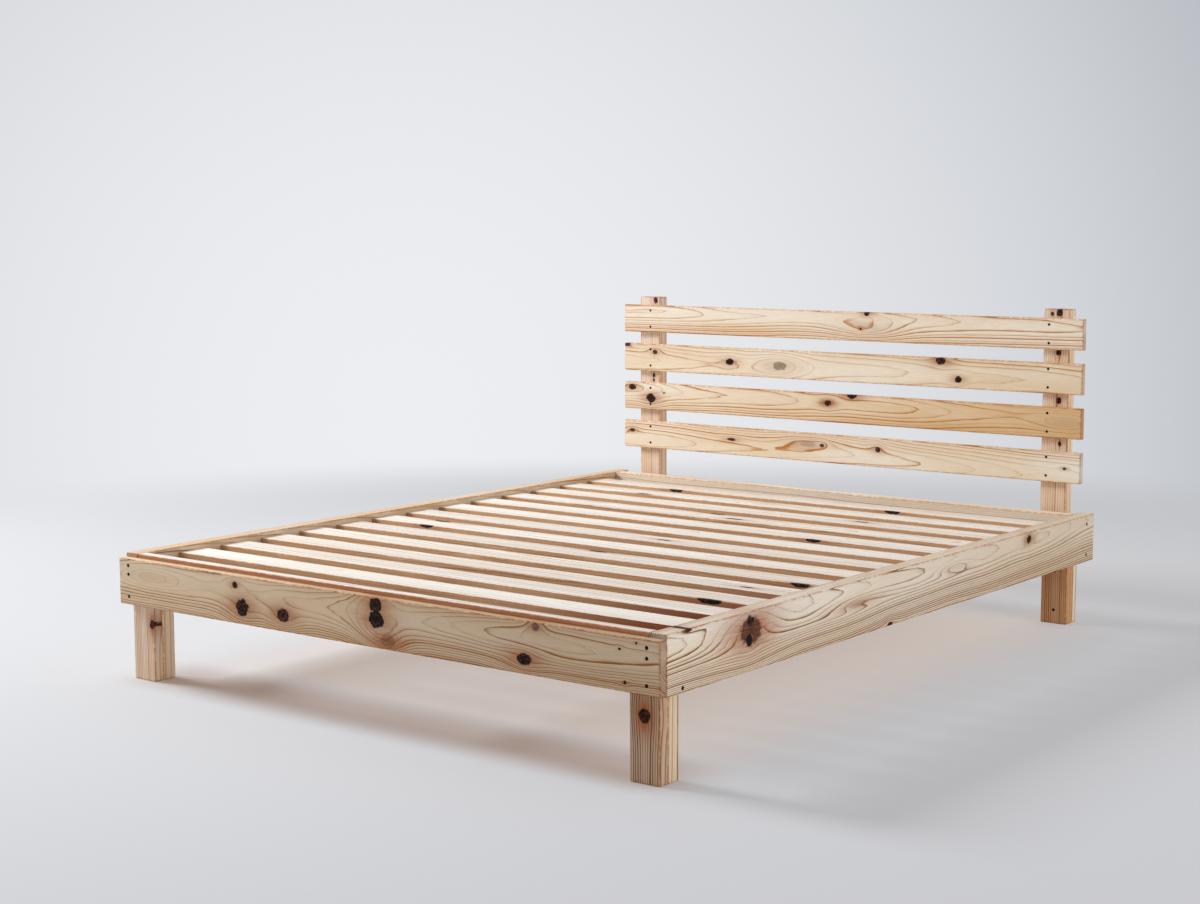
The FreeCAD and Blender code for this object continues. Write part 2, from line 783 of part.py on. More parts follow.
def staple():
    """A wire staple: a crown over the origin and two legs that point downwards."""
    body = doc.addObject("PartDesign::Body", "staple")
    reach = "(bed.staple_span / 2)"
    half = "(bed.staple_wire / 2)"
    crown_outline = new_sketch(body, "staple_crown_outline", "z")
    end = f"({reach} + {half})"
    draw_rectangle(crown_outline, (f"-{end}", f"-{half}"), (end, half))
    crown = body.newObject("PartDesign::Pad", "staple_crown")
    crown.Profile = crown_outline
    crown.setExpression("Length", "bed.staple_wire")
    doc.recompute()
    leg_outline = new_sketch(body, "staple_leg_outline", "z")
    draw_circles(leg_outline, [(f"-{reach}", "0"), (reach, "0")], "bed.staple_wire")
    legs = body.newObject("PartDesign::Pad", "staple_legs")
    legs.Profile = leg_outline
    legs.setExpression("Length", "(bed.band_thick + bed.staple_leg)")
    legs.Reversed = True
    doc.recompute()
    return body


def staple_bands(slats):
    """The webbing bands under the slats and the staples that hold them."""
    spots = []
    for side in SIDES:
        band = make_band(side)
        middle = at_side(side, BAND_MIDDLE)
        legs = [f"({middle} - bed.staple_span / 2)", f"({middle} + bed.staple_span / 2)"]
        lines = [f"({front} + bed.slat_wide / 2)" for front in SLAT_FRONTS]
        band.drill("staple", "bottom", [(x, y) for y in lines for x in legs], "bed.staple_wire")
        for slat, line in zip(slats, lines):
            holes = [(x, line) for x in legs]
            slat.drill("staple", "bottom", holes, "bed.staple_wire", depth="bed.staple_leg")
            spots.append(("+z", (middle, line, f"({SLAT_UNDER} - bed.band_thick)")))
    place_fasteners("band_staples", staple(), spots)


def build_frame():
    """The four rails, the foot board and the legs, screwed together."""
    side_rails = make_side_rails()
    foot_rail = make_end_rail("foot_rail", "bed.foot_rail_thick", FOOT_RAIL_FACE)
    head_rail = make_end_rail("head_rail", "bed.head_rail_thick", RECESS_HEAD)
    foot_board = make_foot_board()
    rear_tongues = {}
    foot_board_spots = []
    side_spots = []
    ply_spots = []
    foot_rail_spots = []
    inside_spots = []

    for side, rail in side_rails.items():
        inside = inner_face(side)

        across = at_side(side, f"({RAIL_OUTSIDE} - bed.foot_screw_side)")
        places = [
            (across, f"({FOOT_BOARD_UNDER} + bed.foot_screw_{level})")
            for level in ("low", "middle", "high")
        ]
        foot_board_spots += screw_together(
            "middle", f"corner_{side}", foot_board, rail, "front", places
        )

        along = f"({HEAD_RAIL_BACK} - bed.rail_screw_back)"
        places = [(along, f"(bed.under_frame + bed.rail_screw_{level})") for level in ("low", "high")]
        side_spots += screw_together("long", f"head_{side}", rail, head_rail, side, places)

        front_tongue = make_tall_ply("front", side, FRONT_LEG_OUTSIDE, RECESS_FOOT)
        front_short = make_short_ply(
            "front", side, FRONT_LEG_OUTSIDE, f"({RECESS_FOOT} - bed.short_ply_thick)"
        )
        rear_tongue = make_tall_ply("rear", side, REAR_LEG_OUTSIDE, HEAD_RAIL_BACK)
        rear_short = make_short_ply("rear", side, REAR_LEG_OUTSIDE, POST_FACE)
        rear_tongues[side] = rear_tongue

        for tall, short, face, outside in (
            (front_tongue, front_short, "back", FRONT_LEG_OUTSIDE),
            (rear_tongue, rear_short, "front", REAR_LEG_OUTSIDE),
        ):
            across = at_side(side, f"({outside} - bed.leg_wide / 2)")
            places = [(across, f"bed.ply_screw_{level}") for level in ("low", "high")]
            ply_spots += screw_together("middle", "ply", tall, short, face, places)

        across = at_side(side, TONGUE_MIDDLE_X)
        places = [
            (across, f"(bed.under_frame + bed.foot_rail_screw_{level})") for level in ("low", "high")
        ]
        foot_rail_spots += screw_together(
            "middle", f"foot_rail_{side}", front_tongue, foot_rail, "back", places
        )

        along = f"({TONGUE_BACK} - bed.tongue_screw_back)"
        places = [(along, "(bed.under_frame + bed.tongue_screw_low)")]
        side_spots += screw_together(
            "long", "tongue", rail, front_tongue, side, places, gap=NOTCH_WIDE
        )
        places = [(TONGUE_MIDDLE_Y, "(bed.under_frame + bed.tongue_screw_high)")]
        inside_spots += screw_together(
            "long", "tongue_inside", front_tongue, rail, inside, places, wall=TONGUE_WIDE
        )

    reach = f"({RAIL_INSIDE} - bed.tie_end)"
    ties = [
        (across, "(bed.under_frame + bed.tie_high)")
        for across in evenly(f"(-{reach})", reach, count("tie_count"))
    ]
    tie_spots = screw_together("short", "tie", foot_rail, foot_board, "back", ties)

    place_fasteners("foot_board_screws", MIDDLE_SCREW, foot_board_spots)
    place_fasteners("side_rail_screws", LONG_SCREW, side_spots)
    place_fasteners("leg_inside_screws", LONG_SCREW, inside_spots)
    place_fasteners("leg_ply_screws", MIDDLE_SCREW, ply_spots)
    place_fasteners("leg_rail_screws", MIDDLE_SCREW, foot_rail_spots)
    place_fasteners("foot_rail_screws", SHORT_SCREW, tie_spots)
    return side_rails, foot_rail, head_rail, rear_tongues


def build_headboard(head_rail, rear_tongues):
    """The posts and the four boards of the headboard."""
    posts = {side: make_post(side) for side in SIDES}
    spots = []
    for index in range(count("board_count")):
        board = make_headboard_board(index)
        low = board.corner[AXES["z"]]
        heights = [
            f"({low} + bed.board_screw_edge)",
            f"({low} + bed.board_high - bed.board_screw_edge)",
        ]
        for side, post in posts.items():
            across = at_side(side, f"({POST_INSIDE} + bed.board_screw_side)")
            places = [(across, height) for height in heights]
            name = f"board_{index + 1}_{side}"
            spots += screw_together("short", name, board, post, "front", places)
    place_fasteners("headboard_screws", SHORT_SCREW, spots)
    bolt_posts(head_rail, rear_tongues, posts)


def build_deck(side_rails, foot_rail, head_rail):
    """The ledgers, the slats with their bands, and the beam with its leg."""
    spots = []
    lines = evenly(
        f"({TONGUE_BACK} + bed.ledger_screw_end)",
        f"({RECESS_HEAD} - bed.ledger_screw_end)",
        count("ledger_screw_count"),
    )
    places = [(line, f"({SLAT_UNDER} - bed.ledger_high / 2)") for line in lines]
    for side, rail in side_rails.items():
        ledger = make_ledger(side)
        spots += screw_together("middle", "ledger", ledger, rail, inner_face(side), places)
    place_fasteners("ledger_screws", MIDDLE_SCREW, spots)
    slats = [make_slat(index) for index in range(count("slat_count"))]
    staple_bands(slats)
    beam = make_beam()
    hang_beam(foot_rail, head_rail)
    stand_middle_leg(beam)


def write_pieces():
    """Check every object of the document, then write each piece to its own file."""
    doc.recompute()
    for item in doc.Objects:
        if "Invalid" in item.State or "Error" in item.State:
            raise ValueError(f"{item.Label} failed")
    for piece in pieces:
        if piece.Shape.isNull() or not piece.Shape.isValid():
            raise ValueError(f"{piece.Label} has no valid shape")
    os.makedirs("parts", exist_ok=True)
    for piece in pieces:
        piece.Shape.exportStep(f"parts/{piece.Label}.step")
    print(f"{len(pieces)} pieces, {sum(len(piece.Shape.Solids) for piece in pieces)} solids")


SHORT_SCREW = wood_screw("short")
MIDDLE_SCREW = wood_screw("middle")
LONG_SCREW = wood_screw("long")

side_rails, foot_rail, head_rail, rear_tongues = build_frame()
build_headboard(head_rail, rear_tongues)
build_deck(side_rails, foot_rail, head_rail)
write_pieces()
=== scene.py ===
# %% [markdown]
# # A low bed of knotty pine
#
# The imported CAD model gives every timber, screw and bolt of the bed its exact place and shape. This
# script gives them the look of planed pine: growth rings, knots with the grain flowing round them,
# fibres, and edges darkened by handling. It also makes the slats and the webbing bands anew, since
# real ones aren't as perfect as the CAD solids, and adds a plain floor, soft light and a camera.

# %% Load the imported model
import math

import bpy
from mathutils import Matrix, Vector


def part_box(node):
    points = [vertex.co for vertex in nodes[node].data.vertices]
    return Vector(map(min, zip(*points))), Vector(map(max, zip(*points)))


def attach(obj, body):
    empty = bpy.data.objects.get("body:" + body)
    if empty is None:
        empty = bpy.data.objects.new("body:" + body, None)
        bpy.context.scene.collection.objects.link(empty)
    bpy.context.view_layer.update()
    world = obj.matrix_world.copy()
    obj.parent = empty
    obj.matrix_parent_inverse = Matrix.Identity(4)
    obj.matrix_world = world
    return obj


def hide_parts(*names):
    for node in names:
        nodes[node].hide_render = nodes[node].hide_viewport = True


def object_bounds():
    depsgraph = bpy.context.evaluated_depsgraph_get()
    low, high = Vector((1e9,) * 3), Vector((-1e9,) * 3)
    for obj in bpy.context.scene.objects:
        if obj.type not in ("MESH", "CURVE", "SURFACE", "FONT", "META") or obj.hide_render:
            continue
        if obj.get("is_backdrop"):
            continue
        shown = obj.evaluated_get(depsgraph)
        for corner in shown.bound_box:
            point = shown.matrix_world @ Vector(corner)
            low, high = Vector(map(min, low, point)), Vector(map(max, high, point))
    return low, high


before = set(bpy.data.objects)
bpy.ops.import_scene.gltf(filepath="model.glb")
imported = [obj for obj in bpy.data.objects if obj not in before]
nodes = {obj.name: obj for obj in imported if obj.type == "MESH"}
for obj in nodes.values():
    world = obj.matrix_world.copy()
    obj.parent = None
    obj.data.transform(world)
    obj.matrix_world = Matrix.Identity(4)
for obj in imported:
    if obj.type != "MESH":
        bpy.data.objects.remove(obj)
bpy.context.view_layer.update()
print("nodes loaded:", len(nodes))

# %% [markdown]
# ## The camera
#
# The picture was taken from the right of the foot end, at about the height of a sitting person's
# eyes, with a moderately long lens. The place, the three turns and the lens come from a camera that
# was fitted to the corners of the bed, so that this model's corners fall where the picture's do.

# %% Camera
CAMERA_PLACE = (3.30633, -4.46122, 1.21436)
CAMERA_TURN = 0.65692
CAMERA_DIP = 0.11920
CAMERA_ROLL = -0.00305
CAMERA_LENS = 61.41

camera = bpy.data.objects.new("camera", bpy.data.cameras.new("camera"))
bpy.context.scene.collection.objects.link(camera)
camera.data.lens = CAMERA_LENS
camera.matrix_world = (
    Matrix.Translation(CAMERA_PLACE)
    @ Matrix.Rotation(CAMERA_TURN, 4, "Z")
    @ Matrix.Rotation(math.pi / 2 - CAMERA_DIP, 4, "X")
    @ Matrix.Rotation(CAMERA_ROLL, 4, "Z")
)
bpy.context.scene.camera = camera
bpy.context.scene.view_settings.view_transform = "Standard"
print("camera at", CAMERA_PLACE, "with a lens of", CAMERA_LENS, "mm")

# %% [markdown]
# ## Small tools for node trees
#
# A material in Blender is a tree of small nodes. Writing each link by hand soon hides the idea, so
# these helpers add a node, feed it values or other nodes' outputs, and hand back its output. Then a
# line of code reads like the formula that it stands for.

# %% Adding and linking nodes
def plug(socket, value):
    """Feeds an input with another node's output, or with a plain value."""
    if isinstance(value, bpy.types.NodeSocket):
        socket.id_data.links.new(value, socket)
    else:
        socket.default_value = value


def add_node(tree, kind, inputs=None, **settings):
    """Adds a node. Its settings come first, because they decide which inputs it has."""
    made = tree.nodes.new(kind)
    for name, value in settings.items():
        setattr(made, name, value)
    for name, value in (inputs or {}).items():
        plug(made.inputs[name], value)
    return made


def tree_of(*values):
    """The tree in which the nodes behind some values stand."""
    return next(value.id_data for value in values if isinstance(value, bpy.types.NodeSocket))


print("tools ready to add and link nodes")

# %% Arithmetic
def calc(operation, *values):
    """One step of arithmetic on numbers."""
    inputs = dict(enumerate(values))
    return add_node(tree_of(*values), "ShaderNodeMath", inputs, operation=operation).outputs[0]


def less(value, other):
    """A number less another."""
    return calc("SUBTRACT", value, other)


def times(*values):
    """Numbers multiplied one after another."""
    product = values[0]
    for value in values[1:]:
        product = calc("MULTIPLY", product, value)
    return product


def scaled(value, factor, start):
    """A number times a factor, added to a start."""
    return calc("MULTIPLY_ADD", value, factor, start)


def calc_vector(operation, *values, output="Vector"):
    """One step of arithmetic on vectors. For a length its output is a Value."""
    inputs = dict(enumerate(values))
    made = add_node(tree_of(*values), "ShaderNodeVectorMath", inputs, operation=operation)
    return made.outputs[output]


def split(vector):
    """The three numbers of a vector."""
    return add_node(tree_of(vector), "ShaderNodeSeparateXYZ", {"Vector": vector}).outputs[:]


def join(*numbers):
    """A vector from three numbers."""
    inputs = dict(enumerate(numbers))
    return add_node(tree_of(*numbers), "ShaderNodeCombineXYZ", inputs).outputs[0]


print("tools ready for numbers and vectors")

# %% Easing, mixing and noise
def ease(value, low, high):
    """0 below low, 1 above high and a smooth step between. It falls if low is above high."""
    ends = {"Value": value, "From Min": low, "From Max": high}
    made = add_node(tree_of(value), "ShaderNodeMapRange", ends, interpolation_type="SMOOTHSTEP")
    return made.outputs["Result"]


def mix(share, first, second, kind="MIX"):
    """Two colours mixed. The share says how much of the second there is."""
    tree = tree_of(share, first, second)
    inputs = {0: share, 6: first, 7: second}
    return add_node(tree, "ShaderNodeMix", inputs, data_type="RGBA", blend_type=kind).outputs[2]


def noise(place, per_metre, offset, detail=2.0):
    """A soft noise with its own fineness along each direction. Outputs: a number, a colour."""
    at = calc_vector("MULTIPLY_ADD", place, per_metre, offset)
    inputs = {"Vector": at, "Scale": 1.0, "Detail": detail}
    return add_node(tree_of(at), "ShaderNodeTexNoise", inputs).outputs


def luck_of(number, output="Value"):
    """A random number, or Color, that is the same whenever the whole number is the same."""
    inputs = {"W": number}
    made = add_node(tree_of(number), "ShaderNodeTexWhiteNoise", inputs, noise_dimensions="1D")
    return made.outputs[output]


def screen(code):
    """A colour as a screen shows it, such as "e0d0b0", in the light values of a shader. The
    numbers are those of the curve that all screens share."""
    shares = [int(code[i:i + 2], 16) / 255 for i in (0, 2, 4)]
    return (*[s / 12.92 if s <= 0.04045 else ((s + 0.055) / 1.055) ** 2.4 for s in shares], 1.0)


print("a mid grey of a screen is", round(screen("808080")[0], 3), "as light")

# %% Shader groups
SOCKETS = {"number": "NodeSocketFloat", "vector": "NodeSocketVector", "colour": "NodeSocketColor"}


def shader_group(name, inputs, outputs):
    """An empty node group with named inputs and outputs, to be placed in many materials."""
    tree = bpy.data.node_groups.new(name, "ShaderNodeTree")
    for label, (kind, value) in inputs.items():
        socket = tree.interface.new_socket(label, in_out="INPUT", socket_type=SOCKETS[kind])
        socket.default_value = value
    for label, kind in outputs.items():
        tree.interface.new_socket(label, in_out="OUTPUT", socket_type=SOCKETS[kind])
    given = tree.nodes.new("NodeGroupInput").outputs
    result = tree.nodes.new("NodeGroupOutput").inputs
    return tree, given, result


def use_group(tree, group, inputs):
    """Places a group in a tree and hands back its outputs."""
    return add_node(tree, "ShaderNodeGroup", inputs, node_tree=group).outputs


print("group tools ready")

# %% [markdown]
# ## Knots
#
# A knot is the stub of a branch. The trunk's wood flowed round it as it grew, so on a plank the
# grain swerves round each knot like water round a stone. A picture of a knot pasted on straight
# grain looks false. So this group does two things: it marks the knot itself with its rings, dark
# rim and reddish surroundings, and it bends the place at which the rings are looked up later.
#
# Every place here is in the timber's own directions: along the grain, across the face, through it.

# %% Knot group
ORIGIN = (0.0, 0.0, 0.0)
MM = 0.001
# Where each zone of a knot starts to show and where it is full, as shares of the knot's radius.
KNOT_EDGE = (1.16, 0.86)
RIM_INSIDE = (0.62, 0.92)
RIM_OUTSIDE = (1.2, 0.98)
CORE = (0.75, 0.15)
BLOTCH_RANGE = (0.44, 0.56)
RAGGEDNESS = 0.75
# How black each zone is.
BLACKNESS = {"all over": 0.2, "core": 0.45, "rim": 0.5, "blotches": 0.75}
FULL_BROWN = 1.9
# How far the reddish wood and the bent grain reach, along and across, in radii.
HALO_REACH = (2.8, 1.6)
BEND_REACH = (3.4, 2.3)
# How the grain bends: pressed aside, and bulging outwards, over a buried knot most of all.
PRESSED_ASIDE = -0.85
BULGE = {"over a buried knot": 1.1, "less when dark": -0.8, "least": 0.25}

knot_group, given, result = shader_group(
    "Knot",
    {
        "Place": ("vector", ORIGIN),
        "Shift": ("vector", ORIGIN),
        "Marks": ("vector", ORIGIN),
        "Ragged": ("number", 0.0),
        "Blotch": ("number", 0.5),
        "Centre": ("vector", ORIGIN),
        "Radius": ("number", 10 * MM),
        "Roundness": ("number", 0.0),
        "Stretch": ("number", 1.2),
        "Dark": ("number", 0.8),
        "Halo": ("number", 0.6),
        "Swerve": ("number", 0.8),
    },
    {"Shift": "vector", "Marks": "vector"},
)


def fill_knot_group(given, result):
    """Marks hold three numbers: the knot's brown, its black, and the reddish wood round it. A knot
    that isn't dark is the eye over a buried one: there only the rings show, closed round it. A
    knot goes right through the timber, unless its Roundness ends it in the depth, like a lens."""
    away = split(calc_vector("SUBTRACT", given["Place"], given["Centre"]))
    along = calc("DIVIDE", away[0], times(given["Stretch"], given["Radius"]))
    across = calc("DIVIDE", away[1], given["Radius"])
    deep = times(calc("DIVIDE", away[2], given["Radius"]), given["Roundness"])
    along_2 = times(along, along)
    across_2 = scaled(across, across, times(deep, deep))
    from_middle = calc("SQRT", calc("ADD", along_2, across_2))
    edge = scaled(given["Ragged"], RAGGEDNESS, from_middle)

    knot = ease(edge, *KNOT_EDGE)
    rim = times(ease(edge, *RIM_INSIDE), ease(edge, *RIM_OUTSIDE))
    core = ease(edge, *CORE)
    blotches = ease(given["Blotch"], *BLOTCH_RANGE)
    black = scaled(core, BLACKNESS["core"], BLACKNESS["all over"])
    black = scaled(rim, BLACKNESS["rim"], black)
    black = scaled(blotches, BLACKNESS["blotches"], black)
    black = times(knot, given["Dark"], black)
    brown = calc("MINIMUM", times(given["Dark"], FULL_BROWN), 1.0)
    brown = times(knot, brown)

    def fade(reach_along, reach_across):
        spread = times(along_2, -1 / reach_along ** 2)
        spread = scaled(across_2, -1 / reach_across ** 2, spread)
        return calc("EXPONENT", spread)

    halo = times(fade(*HALO_REACH), given["Halo"])
    marks = calc_vector("MAXIMUM", given["Marks"], join(brown, black, halo))
    plug(result["Marks"], marks)

    pull = times(fade(*BEND_REACH), given["Swerve"])
    sideways = times(away[1], pull, PRESSED_ASIDE)
    bulge = scaled(given["Dark"], BULGE["less when dark"], BULGE["over a buried knot"])
    outwards = times(given["Radius"], pull, calc("MAXIMUM", bulge, BULGE["least"]))
    bent = calc_vector("ADD", given["Shift"], join(0.0, sideways, outwards))
    plug(result["Shift"], bent)


fill_knot_group(given, result)
print("knot group:", len(knot_group.nodes), "nodes")

# %% [markdown]
# ## Growth rings
#
# A tree adds a ring of wood each year: a wide pale part in spring, then a narrow brown part in
# summer. In a trunk the rings are nested tubes round the pith. A plank is cut from them, so its
# lines are the cut through those tubes: close parallel lines where the plank faces the pith edge
# on, and tall arches where it was cut from the side and leans a little to the trunk. One formula
# gives both, and the end grain too, which is why this is worth more than drawn lines: the distance
# from the pith, divided by the width of a ring. Where a plank cuts the rings at a low angle they
# lie far apart on its face, so the brown line is kept to its own width there, as on the real wood.

# %% Growth rings group
# Finenesses are in waves per metre: along the grain, across the face, through the timber.
DRIFT_FINENESS = (1.5, 5.0, 5.0)
WAVE_FINENESS = (10.0, 90.0, 90.0)
WAVE_SIZE = 1.6 * MM
SPELLS_PER_YEAR = (0.28, 1.0, 1.0)
# The brown line of a ring: its width, more for some years, its sharp edge and its soft one.
LINE_WIDTH = 2 * MM
LINE_EXTRA = 3 * MM
SHARP_EDGE = 0.8 * MM
SOFT_EDGE = 9 * MM
SOFT_SHARE = 0.36
LEAST_SLOPE = 0.13
# How strong the lines are: the faintest, what the luck of a year adds, and the tips of arches.
FAINTEST = 0.4
LUCK_ADDS = 0.75
TIP_SLOPES = (0.0, 0.3)
TIP_STRENGTH = 0.5

rings_group, given, result = shader_group(
    "Growth Rings",
    {
        "Place": ("vector", ORIGIN),
        "Shift": ("vector", ORIGIN),
        "Pith Across": ("number", 0.0),
        "Pith Deep": ("number", -0.05),
        "Lean": ("number", 0.02),
        "Ring Width": ("number", 0.0045),
        "Wander": ("number", 0.012),
        "Seed": ("vector", ORIGIN),
    },
    {"Summer Wood": "number"},
)


def fill_rings_group(given, result):
    """Summer Wood is 0 on the pale part of a ring and up to 1 on its brown line."""
    drift = noise(given["Place"], DRIFT_FINENESS, given["Seed"], 1.0)[1]
    drift = split(calc_vector("SUBTRACT", drift, (0.5, 0.5, 0.5)))
    along, across, deep = split(calc_vector("ADD", given["Place"], given["Shift"]))
    across = less(across, given["Pith Across"])
    across = scaled(drift[0], given["Wander"], across)
    deep = less(deep, given["Pith Deep"])
    deep = less(deep, times(given["Lean"], along))
    deep = scaled(drift[1], given["Wander"], deep)
    squares = calc("ADD", times(across, across), times(deep, deep))
    from_pith = calc("SQRT", squares)

    wave = noise(given["Place"], WAVE_FINENESS, given["Seed"], 2.0)[0]
    wave = times(less(wave, 0.5), WAVE_SIZE)
    years = calc("DIVIDE", calc("ADD", from_pith, wave), given["Ring Width"])
    spells = noise(join(years, 0.0, 0.0), SPELLS_PER_YEAR, given["Seed"], 1.0)[0]
    years = calc("ADD", less(spells, 0.5), years)

    part = calc("FRACT", years)
    luck = luck_of(calc("FLOOR", years))
    steep = calc("DIVIDE", calc("ABSOLUTE", across), from_pith)
    to_line = times(less(1.0, part), given["Ring Width"])
    to_line = calc("DIVIDE", to_line, calc("MAXIMUM", steep, LEAST_SLOPE))
    width = scaled(luck, LINE_EXTRA, LINE_WIDTH)
    line = ease(to_line, width, SHARP_EDGE)
    soft = times(ease(to_line, SOFT_EDGE, 0.0), SOFT_SHARE)
    line = calc("MAXIMUM", line, soft)
    strength = scaled(times(luck, luck), LUCK_ADDS, FAINTEST)
    at_tip = calc("MAXIMUM", ease(steep, *TIP_SLOPES), TIP_STRENGTH)
    plug(result["Summer Wood"], times(line, strength, at_tip))


fill_rings_group(given, result)
print("growth rings group:", len(rings_group.nodes), "nodes")

# %% [markdown]
# ## Edges and ends
#
# Hands, bedding and the saw leave their marks on the long edges and the cut ends of a timber. The
# timber's own size tells how far a spot is from its nearest edge: of the distances to the three
# pairs of faces the smallest is nearly zero, because the spot is on a face, and the middle one is
# the distance to the edge. That needs no picture and no extra geometry.

# %% Edge wear group
WORN_WHERE = (0.3, 0.62)
SAWN_DEPTH = (1.6 * MM, 0.6 * MM)

wear_group, given, result = shader_group(
    "Edge Wear",
    {
        "Place": ("vector", ORIGIN),
        "Half Size": ("vector", (0.5, 0.05, 0.01)),
        "Width": ("number", 0.006),
        "Unevenness": ("number", 0.5),
    },
    {"Wear": "number", "End": "number"},
)


def fill_wear_group(given, result):
    """Wear is 1 on a worn edge, and End is 1 on the two cut ends."""
    place = calc_vector("ABSOLUTE", given["Place"])
    inside = calc_vector("SUBTRACT", given["Half Size"], place)
    ends, sides, faces = split(inside)
    least = calc("MINIMUM", calc("MINIMUM", ends, sides), faces)
    most = calc("MAXIMUM", calc("MAXIMUM", ends, sides), faces)
    total = calc("ADD", calc("ADD", ends, sides), faces)
    middle = less(less(total, least), most)
    close = ease(middle, given["Width"], 0.0)
    rubbed = times(close, ease(given["Unevenness"], *WORN_WHERE))
    plug(result["Wear"], rubbed)
    plug(result["End"], ease(ends, *SAWN_DEPTH))


fill_wear_group(given, result)
print("edge wear group:", len(wear_group.nodes), "nodes")

# %% [markdown]
# ## The wood itself
#
# This group turns rings, knots and edges into a colour, a roughness and a height. Fibres are a
# noise drawn out along the grain, about forty times as long as they are wide. Short dark flecks are
# resin canals. Pine is yellower in large soft patches, which the script calls honey. Knots are a
# little smoother than the wood round them, and the soft spring wood between the lines is planed
# lower than the hard summer wood.

# %% Pine surface group
RUST = screen("ad6636")
KNOT_BROWN = screen("5e2618")
KNOT_BLACK = screen("100503")
# These three darken what they lie on.
HONEY_TINT = (0.93, 0.83, 0.70, 1.0)
RUBBED_TINT = (0.80, 0.52, 0.34, 1.0)
SAWN_TINT = (0.74, 0.72, 0.76, 1.0)
PATCH_FINENESS = (1.4, 9.0, 9.0)
FIBRE_FINENESS = (26.0, 1100.0, 1100.0)
HONEY_WHERE = (0.36, 0.66)
FLECK_WHERE = (0.66, 0.76)
FLECK_SHARE = 0.4
FIBRE_SHADE = 0.42
HALO_STREAKS = 1.9
KNOT_SHARE = 0.9
# Lines are fainter in some patches: the least share, and what a patch adds.
LINE_SHARES = (0.7, 0.9)
ROUGHNESS = {"wood": 0.56, "fibres": 0.25, "knots": -0.05, "sawn ends": 0.18}
HEIGHTS = {"summer wood": 0.5, "fibres": 0.7, "knots": -1.6}

surface_group, given, result = shader_group(
    "Pine Surface",
    {
        "Place": ("vector", ORIGIN),
        "Summer Wood": ("number", 0.0),
        "Marks": ("vector", ORIGIN),
        "Wear": ("number", 0.0),
        "End": ("number", 0.0),
        "Pale": ("colour", screen("e6d6bc")),
        "Brown": ("colour", screen("a87848")),
        "Honey": ("number", 1.0),
        "Contrast": ("number", 0.6),
        "Seed": ("vector", ORIGIN),
    },
    {"Colour": "colour", "Roughness": "number", "Height": "number"},
)


def darken(share, colour, tint):
    """A colour multiplied by a tint where the share is 1."""
    return mix(share, colour, mix(1.0, colour, tint, "MULTIPLY"))


def fill_surface_group(given, result):
    """The last step from masks to what the shader needs."""
    knot, dark, halo = split(given["Marks"])
    patch = split(noise(given["Place"], PATCH_FINENESS, given["Seed"], 2.0)[1])
    fine = split(noise(given["Place"], FIBRE_FINENESS, given["Seed"], 2.0)[1])
    fibre = less(fine[0], 0.5)

    honey = times(ease(patch[0], *HONEY_WHERE), given["Honey"])
    ground = darken(honey, given["Pale"], HONEY_TINT)
    grain = times(given["Summer Wood"], given["Contrast"])
    grain = times(grain, scaled(patch[1], LINE_SHARES[1], LINE_SHARES[0]))
    colour = mix(grain, ground, given["Brown"])
    shade = scaled(fibre, FIBRE_SHADE, 1.0)
    colour = mix(1.0, colour, join(shade, shade, shade), "MULTIPLY")
    fleck = times(ease(fine[1], *FLECK_WHERE), FLECK_SHARE)
    colour = mix(fleck, colour, given["Brown"])
    colour = mix(times(halo, fine[2], HALO_STREAKS), colour, RUST)
    colour = mix(times(knot, KNOT_SHARE), colour, KNOT_BROWN)
    colour = mix(dark, colour, KNOT_BLACK)
    colour = darken(given["Wear"], colour, RUBBED_TINT)
    colour = darken(given["End"], colour, SAWN_TINT)
    plug(result["Colour"], colour)

    rough = scaled(fibre, ROUGHNESS["fibres"], ROUGHNESS["wood"])
    rough = scaled(knot, ROUGHNESS["knots"], rough)
    rough = scaled(given["End"], ROUGHNESS["sawn ends"], rough)
    plug(result["Roughness"], rough)
    height = times(fibre, HEIGHTS["fibres"])
    height = scaled(given["Summer Wood"], HEIGHTS["summer wood"], height)
    height = scaled(dark, HEIGHTS["knots"], height)
    plug(result["Height"], height)


fill_surface_group(given, result)
print("pine surface group:", len(surface_group.nodes), "nodes")

# %% [markdown]
# ## One material for each timber
#
# No two planks are the same, so each timber gets a material of its own. They all place the same
# groups and differ only in values: where the pith was, how wide the rings are, which colours the
# wood has, and where its knots are. The function below wires one of them up. A timber's place is
# measured from its middle and turned into its own directions, so that "along" follows its grain.

# %% A new material
def new_material(name):
    """A material with a Principled shader, and that shader."""
    material = bpy.data.materials.new(name)
    material.use_nodes = True
    return material, material.node_tree.nodes["Principled BSDF"]


def wire(shader, colour, roughness, height, relief):
    """Links a colour, a roughness and a height to a shader. The relief is in metres."""
    plug(shader.inputs["Base Color"], colour)
    plug(shader.inputs["Roughness"], roughness)
    bump = add_node(tree_of(height), "ShaderNodeBump", {"Height": height, "Distance": relief})
    plug(shader.inputs["Normal"], bump.outputs["Normal"])


def knot_values(along, across, radius, stretch, dark, halo=0.6, swerve=1.0):
    """What the knot group needs for one knot."""
    return {
        "Centre": (along, across, 0.0), "Radius": radius, "Stretch": stretch, "Dark": dark,
        "Halo": halo, "Swerve": swerve,
    }


print("an empty material and its wiring are ready")

# %% The four groups in one material
RELIEF = 0.35 * MM
PINE_GLOSS = 0.1
RAGGED_FINENESS = (80.0, 90.0, 40.0)
BLOTCH_FINENESS = (150.0, 220.0, 60.0)


